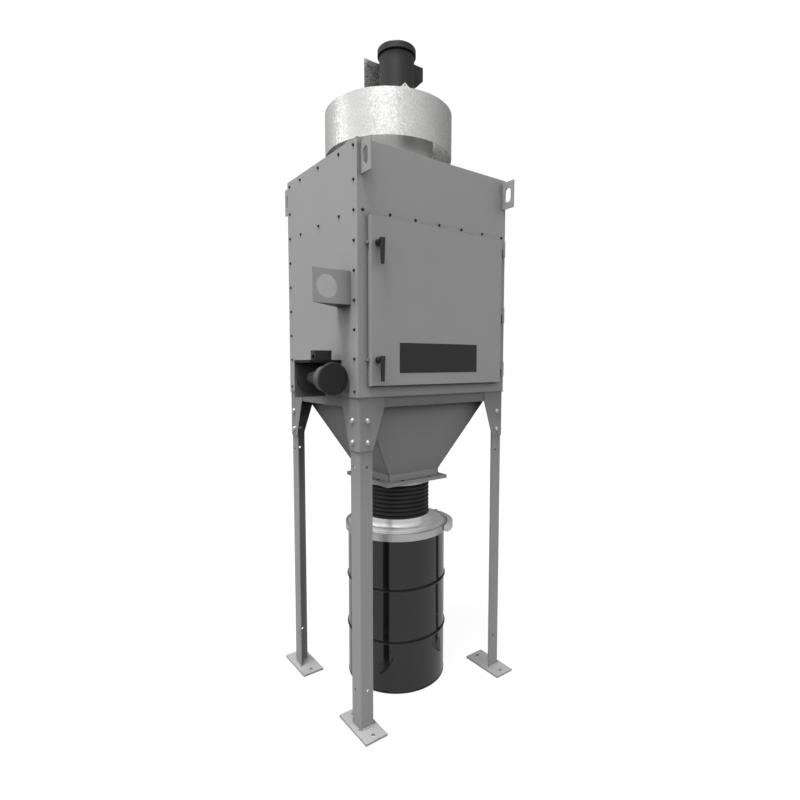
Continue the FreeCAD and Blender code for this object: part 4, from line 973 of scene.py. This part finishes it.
def make_drum_enamel(groups, colour, body_radius):
    """Black enamel whose gloss coat is worn on the rolling hoops: the coat's weight falls from 1
    to a quarter as the distance from the drum's axis passes the body's radius."""
    material = make_enamel("black_drum_enamel", groups, colour, roughness=0.5, peel=300.0,
                           bump=0.03, dust=0.0, Specular_IOR_Level=0.06, Coat_Roughness=0.05,
                           Coat_IOR=1.62)
    tree = material.node_tree
    coat = remap(tree, distance_from_axis(material, (0.0, 0.0)), body_radius + 0.0008,
                 body_radius + 0.003, 1.0, 0.25)
    tree.links.new(coat, tree.nodes["Principled BSDF"].inputs["Coat Weight"])
    return material


def make_shaker_paint_and_light(groups, colour):
    """Motor paint with painted light: the end bell and barrel are lightened where they sit in shade,
    and a painted shade makes the flange nearly black.
    """
    material = make_enamel("shaker_motor_paint_and_painted_light", groups, colour, roughness=0.52, peel=520.0,
                           bump=0.18, dust=0.1, Specular_IOR_Level=0.25)
    cover_length, flange_length = 0.018, 0.012
    # Painted light lightens the bell and barrel; painted shade then darkens the flange
    scale_step(material, "Y", low_corner("shaker_motor")[1] + cover_length, 1.0, 5.4)
    scale_step(material, "Y", high_corner("shaker_motor")[1] - flange_length, 1.0, 0.3)
    return material


def make_door_enamel_with_shaded_top(groups, grey):
    """Grey enamel with a painted shade on the folded top edge of the door, which dulls its
    highlight.
    """
    material = make_enamel("grey_door_enamel_painted_shade", groups, **grey)
    fold = 0.0045
    # Painted shade along the door's top edge
    scale_step(material, "Z", high_corner("door")[2] - fold, 1.0, 0.6, half_width=0.0015)
    return material


def make_mount_paint_and_shade(groups, colour):
    """Dark paint with a painted shade that makes the lip of the shaker's shelf, at the top of the
    mount, nearly black, and painted shade in its sheltered corners.
    """
    material = make_enamel("dark_mount_paint_shaded_lip", groups, colour, roughness=0.55, peel=520.0,
                           bump=0.15, dust=0.0, corner=1.0, Specular_IOR_Level=0.12)
    lip = 0.014
    # Painted shade on the lip
    scale_step(material, "Z", high_corner("shaker_mount")[2] - lip, 1.0, 0.15)
    return material


def make_ring_zinc_shaded_inside(groups, colour):
    """Spangled zinc with a painted shade on the inside of the silencer's ring."""
    material = make_zinc("silencer_zinc_shaded_inside", groups, colour, **SHEET)
    low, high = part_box("silencer_ring")
    centre = ((low[0] + high[0]) / 2, (low[1] + high[1]) / 2)
    outside, wall = (high[0] - low[0]) / 2, 0.002
    reach = distance_from_axis(material, centre)
    # Painted shade: the inside takes 0.6 of the colour
    scale_base(material, remap(material.node_tree, reach, outside - wall, outside - wall / 2,
                               0.6, 1.0))
    return material


def make_finishes():
    """All materials of the machine, by name."""
    settings = bpy.context.scene.collector_finish
    groups = {"enamel": build_enamel_group(), "spangle": build_spangle_group(),
              "dust": build_dust_group(), "painted_shade": build_painted_shade_group()}
    bracket_top = high_corner("front_left_leg_bracket")[2]
    # Every grey enamel gets painted shade in its sheltered corners
    grey = {"colour": settings.housing_colour, "roughness": settings.housing_roughness,
            "peel": 420.0, "bump": 0.10, "corner": settings.corner_painted_shade,
            "Specular_IOR_Level": 0.12}
    smooth = {"cell": 260.0, "contrast": 0.06, "tilt": 0.03}
    made = {
        "housing": make_enamel("grey_enamel", groups, **grey),
        "roof": make_enamel("grey_roof_enamel", groups, **grey),
        "door": make_door_enamel_with_shaded_top(groups, grey),
        # Painted shade in a band just under the housing, fading downwards, on the legs, brackets and
        # base frame
        "leg": make_enamel("grey_leg_enamel", groups, **grey,
                           band=(0.45, bracket_top - 0.75, bracket_top)),
        "base": make_enamel("grey_base_enamel", groups, **grey,
                            band=(0.55, bracket_top - 0.3, bracket_top - 0.05)),
        "drum": make_drum_enamel(groups, settings.drum_colour,
                                 bpy.context.scene.collector_pieces.drum_radius),
        "mount": make_mount_paint_and_shade(groups, settings.mount_colour),
        "shaker": make_shaker_paint_and_light(groups, settings.motor_colour),
        # Near-black seams: painted shade along the hopper's corners
        "seam": make_enamel("seam_painted_shade", groups, (0.07, 0.07, 0.07), roughness=0.6,
                            peel=520.0, bump=0.2, dust=0.0),
        "motor": make_enamel("black_motor_paint", groups, settings.motor_colour, roughness=0.45,
                             peel=520.0, bump=0.18, dust=0.1, Specular_IOR_Level=0.4),
        "hose": make_enamel("black_hose_rubber", groups, settings.hose_colour, roughness=0.55,
                            peel=700.0, bump=0.25, dust=0.0),
        "rubber": make_enamel("door_seal_rubber", groups, (0.02, 0.02, 0.02), roughness=0.7,
                              peel=500.0, bump=0.2, dust=0.0),
        "handle": make_enamel("black_handle_plastic", groups, (0.018, 0.018, 0.019),
                              roughness=0.42, peel=900.0, bump=0.2),
        "screw": make_enamel("black_screw_finish", groups, (0.012, 0.012, 0.013), roughness=0.45,
                             peel=900.0, bump=0.1, dust=0.0),
        "plate": make_enamel("dark_plate_finish", groups, settings.plate_colour, roughness=0.5,
                             peel=600.0, bump=0.05, cloud=0.02, dust=0.0),
        "zinc": make_zinc("bright_zinc_sheet", groups, settings.zinc_colour, **SHEET),
        "zinc_fan": make_zinc("fan_housing_zinc", groups, settings.fan_colour, roughness=0.5,
                              cell=150.0, contrast=0.10, tilt=0.05, metallic=0.3),
        "zinc_silencer": make_ring_zinc_shaded_inside(groups, settings.zinc_colour),
        "zinc_lid": make_zinc("bright_zinc_lid", groups, settings.lid_colour, roughness=0.30,
                              cell=260.0, contrast=0.01, tilt=0.004, metallic=0.75),
        "zinc_ring": make_zinc("clamp_ring_zinc", groups, settings.ring_colour, roughness=0.38,
                               **smooth),
        "zinc_smooth": make_zinc("smooth_zinc_fittings", groups, settings.fitting_colour,
                                 roughness=0.34, **smooth),
        "zinc_dull": make_zinc("dull_zinc_lever", groups, settings.lever_colour, roughness=0.5,
                               cell=300.0, contrast=0.1, tilt=0.05, metallic=0.5),
        "foot": make_zinc("foot_plate_zinc", groups, settings.foot_colour, roughness=0.6,
                          cell=220.0, contrast=0.08, tilt=0.05, metallic=0.35),
        "washer": make_zinc("plated_washers", groups, (0.55, 0.55, 0.55), roughness=0.45,
                            cell=400.0, contrast=0.1, tilt=0.05),
        "bolt": make_zinc("plated_bolts", groups, (0.62, 0.62, 0.61), roughness=0.40,
                          cell=400.0, contrast=0.1, tilt=0.03),
    }
    for finish, material in made.items():
        if finish not in FULL_BOUNCE:
            dim_bounce(material, settings.bounce_share)
    return made


NODE_FINISH = {
    "housing": ("hopper", "hopper_flange", "outlet_plate", "left_panel", "right_panel",
                "back_panel", "front_upper_panel", "tube_sheet", "door_frame", "frame_hinges",
                "door_hinges", "latch_keepers", "lifting_ears", "gauge_bracket"),
    "roof": ("roof_panel",),
    "base": ("base_frame",),
    "door": ("door",),
    "zinc": ("silencer_deck", "deck_lugs", "motor_mount_plate"),
    "zinc_fan": ("fan_housing",),
    "zinc_silencer": ("silencer_ring",),
    "zinc_smooth": ("hose_clamp_band",),
    "zinc_lid": ("lid_spigot", "drum_lid"),
    "zinc_ring": ("lid_clamp_ring",),
    "zinc_dull": ("lid_clamp_lever",),
    "drum": ("drum",),
    "hose": ("flexible_hose",),
    "mount": ("shaker_mount",),
    "shaker": ("shaker_motor",),
    "motor": ("shaker_terminal_box", "fan_motor", "fan_terminal_box"),
    "handle": ("upper_latch_handle", "lower_latch_handle"),
    "leg": [corner + part for corner in CORNERS for part in ("_leg", "_leg_bracket")],
    "foot": [corner + "_foot_plate" for corner in CORNERS],
}


class COLLECTOR_OT_finishes(bpy.types.Operator):
    """Make the coats and give them to the frame's own pieces"""

    bl_idname = "collector.finishes"
    bl_label = "Coats and metals"

    def execute(self, context):
        FINISHES.update(make_finishes())
        for finish, names in NODE_FINISH.items():
            for name in names:
                NODES[name].data.materials.clear()
                NODES[name].data.materials.append(FINISHES[finish])
        return {"FINISHED"}


# Stage


class StageSizes(bpy.types.PropertyGroup):
    """Camera, sky and lamps."""

    camera_place: bpy.props.FloatVectorProperty(
        name="Camera place", description="Where the camera stands",
        subtype="TRANSLATION", unit="LENGTH", size=3, default=(-1.7559, -2.4353, 1.8381))
    camera_heading: angle_setting(
        "Camera heading", "Turn from +Y towards +X, seen from above", 36.23)
    camera_pitch: angle_setting("Camera pitch", "Tilt above the horizon", -4.17)
    camera_lens: bpy.props.FloatProperty(
        name="Lens", description="Focal length for a 36 mm sensor", unit="CAMERA", default=22.98)
    dome_strength: light_setting(
        "Dome strength", "Even light on matt surfaces from above the horizon", 0.36)
    front_fill: light_setting("Front fill", "Soft light on matt surfaces from in front", 1.18)
    front_fill_side: direction_setting(
        "Front fill side", "Direction of the light from in front", (0.43, -0.88, 0.03))
    left_fill: light_setting("Left fill", "Soft light on matt surfaces from the left", 1.02)
    left_fill_side: direction_setting(
        "Left fill side", "Direction of the light from the left", (-0.98, -0.05, 0.35))
    sky_strength: light_setting(
        "Sky strength", "What gloss mirrors of the studio's bright side", 0.98)
    shade_strength: light_setting(
        "Shade strength", "What gloss mirrors of the side away from the lamps", 0.20)
    bright_side: direction_setting(
        "Bright side", "Direction of the bright side of the studio", (-0.90, -0.40, 0.10))
    backdrop: light_setting("Backdrop", "Brightness of the plain backdrop", 1.02)
    floor_strength: light_setting("Floor", "Brightness of the floor as the camera sees it", 0.93)
    floor_gloss: light_setting(
        "Floor in gloss", "Brightness of the floor as gloss mirrors it", 0.47)
    key_heading: angle_setting("Key heading", "Turn of the overhead lamp from -Y towards -X", 72.0)
    key_height: angle_setting(
        "Key height", "Elevation of the overhead lamp above the horizon", 71.5)
    key_distance: length_setting(
        "Key distance", "From the overhead lamp to the middle of the housing", 12.0)
    key_width: length_setting("Key width", "Side of the square overhead lamp", 5.0)
    key_light: light_setting(
        "Key light", "Light of the overhead lamp, in watts on a square metre", 4.1)


# The point that the lamps are aimed at, in the middle of the housing
AIM = Vector((0.0, 0.0, 2.2))
# Cards that only gloss sees: name, heading and height in degrees, distance, width and light
CARDS = (("overhead_card", 59.0, 77.0, 12.0, 2.2, 4.0), ("side_card", 119.7, 30.0, 6.0, 1.6, 0.10),
         ("front_card", 40.0, 36.0, 7.0, 3.6, 0.14))


def direction_of(heading, height):
    """Unit direction turned from -Y towards -X by the heading and raised by the height."""
    return Vector((-math.sin(heading) * math.cos(height), -math.cos(heading) * math.cos(height),
                   math.sin(height)))


def add_softbox(name, heading, height, distance, width, light, glossy):
    """Square lamp aimed at the middle of the housing, whose power gives the light there:
    P = light pi d². A glossy one shows only in reflections, any other lights matt surfaces only.
    """
    data = bpy.data.lights.new(name, "AREA")
    data.shape = "SQUARE"
    data.size, data.energy = width, light * math.pi * distance ** 2
    lamp = bpy.data.objects.new(name, data)
    direction = direction_of(heading, height)
    lamp.location = AIM + distance * direction
    lamp.rotation_euler = (-direction).to_track_quat("-Z", "Y").to_euler()
    lamp.visible_diffuse, lamp.visible_glossy = not glossy, glossy
    bpy.context.scene.collection.objects.link(lamp)


def fill_light(tree, place, side, strength):
    """Strength times the cube of the cosine to a side, 0 behind it."""
    cosine = combine(tree, "DOT_PRODUCT", place, tuple(Vector(side).normalized()))
    cube = calculate(tree, "POWER", calculate(tree, "MAXIMUM", cosine, 0.0), 3.0)
    return multiply(tree, cube, strength)


def make_sky(settings):
    """Studio light above the horizon, and none below it.

    Matt surfaces see an even dome and two fills, each a strength times c³ with c the cosine to
    the fill's direction and 0 behind it. Gloss sees a strength that goes from the shade side to
    the bright side with the cosine to the bright direction. The camera sees a plain white.
    """
    world = bpy.data.worlds.new("studio_sky")
    world.use_nodes = True
    tree = world.node_tree
    place = tree.nodes.new("ShaderNodeTexCoord").outputs["Generated"]
    bright = tuple(Vector(settings.bright_side).normalized())
    side = combine(tree, "DOT_PRODUCT", place, bright)
    sky = remap(tree, side, -1.0, 1.0, settings.shade_strength, settings.sky_strength)
    above = remap(tree, parts_of(tree, place)["Z"], -0.02, 0.02, 0.0, 1.0)
    front = fill_light(tree, place, settings.front_fill_side, settings.front_fill)
    left = fill_light(tree, place, settings.left_fill_side, settings.left_fill)
    dome = calculate(tree, "ADD", calculate(tree, "ADD", front, left), settings.dome_strength)
    path = tree.nodes.new("ShaderNodeLightPath")
    light = remap(tree, path.outputs["Is Diffuse Ray"], 0.0, 1.0, sky, dome)
    strength = remap(tree, path.outputs["Is Camera Ray"], 0.0, 1.0,
                     multiply(tree, light, above), settings.backdrop)
    tree.links.new(strength, tree.nodes["Background"].inputs["Strength"])
    world.cycles.sampling_method = "NONE"
    tree.nodes["Background"].inputs["Color"].default_value = (1, 1, 1, 1)
    bpy.context.scene.world = world


def add_camera(scene, settings):
    """Camera at the photograph's viewpoint."""
    lens = bpy.data.cameras.new("camera")
    lens.lens = settings.camera_lens
    lens.sensor_width = 36.0
    camera = bpy.data.objects.new("camera", lens)
    camera.location = settings.camera_place
    camera.rotation_euler = Euler((math.pi / 2 + settings.camera_pitch, 0.0,
                                   -settings.camera_heading))
    scene.collection.objects.link(camera)
    scene.camera = camera


def add_floor(scene, settings):
    """Plain floor that glows as white as the backdrop, and more weakly where gloss mirrors it."""
    reach = 2000.0
    corners = [(-reach, -reach, 0), (reach, -reach, 0), (reach, reach, 0), (-reach, reach, 0)]
    mesh = bpy.data.meshes.new("floor")
    mesh.from_pydata(corners, [], [(0, 1, 2, 3)])
    material, shader = start_material("pale_floor", Base_Color=(0.10, 0.10, 0.10, 1.0),
                                      Roughness=0.9, Specular_IOR_Level=0.0,
                                      Emission_Strength=1.0)
    tree = material.node_tree
    seen = tree.nodes.new("ShaderNodeLightPath").outputs["Is Camera Ray"]
    glow = remap(tree, seen, 0.0, 1.0, settings.floor_gloss, settings.floor_strength)
    tree.links.new(glow, shader.inputs["Emission Color"])
    material.cycles.emission_sampling = "NONE"
    mesh.materials.append(material)
    floor = bpy.data.objects.new("floor", mesh)
    scene.collection.objects.link(floor)
    floor.visible_diffuse = False


class COLLECTOR_OT_stage(bpy.types.Operator):
    """Set the camera, the pale floor and the soft light"""

    bl_idname = "collector.stage"
    bl_label = "Camera, floor and light"

    def execute(self, context):
        scene = context.scene
        settings = scene.collector_stage
        scene.view_settings.view_transform = "Standard"
        add_camera(scene, settings)
        add_floor(scene, settings)
        make_sky(settings)
        add_softbox("overhead_key", settings.key_heading, settings.key_height,
                    settings.key_distance, settings.key_width, settings.key_light, False)
        for name, heading, height, distance, width, light in CARDS:
            add_softbox(name, math.radians(heading), math.radians(height), distance, width, light,
                        True)
        return {"FINISHED"}


class COLLECTOR_PT_panel(bpy.types.Panel):
    """Steps of the finish in the order they run"""

    bl_idname = "COLLECTOR_PT_panel"
    bl_label = "Dust Collector"
    bl_space_type = "VIEW_3D"
    bl_region_type = "UI"
    bl_category = "Dust Collector"

    def draw(self, context):
        for step in STEPS:
            self.layout.operator(step.bl_idname)


STEPS = (COLLECTOR_OT_finishes, COLLECTOR_OT_panel_screws, COLLECTOR_OT_bracket_bolts,
         COLLECTOR_OT_flange_bolts, COLLECTOR_OT_door_plate, COLLECTOR_OT_door_seal,
         COLLECTOR_OT_hose, COLLECTOR_OT_drum, COLLECTOR_OT_foot_beads,
         COLLECTOR_OT_hopper_seams, COLLECTOR_OT_stage)
CLASSES = (PieceSizes, FinishSizes, StageSizes, *STEPS, COLLECTOR_PT_panel)


def register():
    for each in CLASSES:
        bpy.utils.register_class(each)
    bpy.types.Scene.collector_pieces = bpy.props.PointerProperty(type=PieceSizes)
    bpy.types.Scene.collector_finish = bpy.props.PointerProperty(type=FinishSizes)
    bpy.types.Scene.collector_stage = bpy.props.PointerProperty(type=StageSizes)


def unregister():
    del bpy.types.Scene.collector_stage
    del bpy.types.Scene.collector_finish
    del bpy.types.Scene.collector_pieces
    for each in reversed(CLASSES):
        bpy.utils.unregister_class(each)


def main():
    register()
    bpy.ops.collector.finishes()
    bpy.ops.collector.panel_screws()
    bpy.ops.collector.bracket_bolts()
    bpy.ops.collector.flange_bolts()
    bpy.ops.collector.door_plate()
    bpy.ops.collector.door_seal()
    bpy.ops.collector.hose()
    bpy.ops.collector.drum()
    bpy.ops.collector.foot_beads()
    bpy.ops.collector.hopper_seams()
    bpy.ops.collector.stage()


if __name__ == "__main__":
    main()
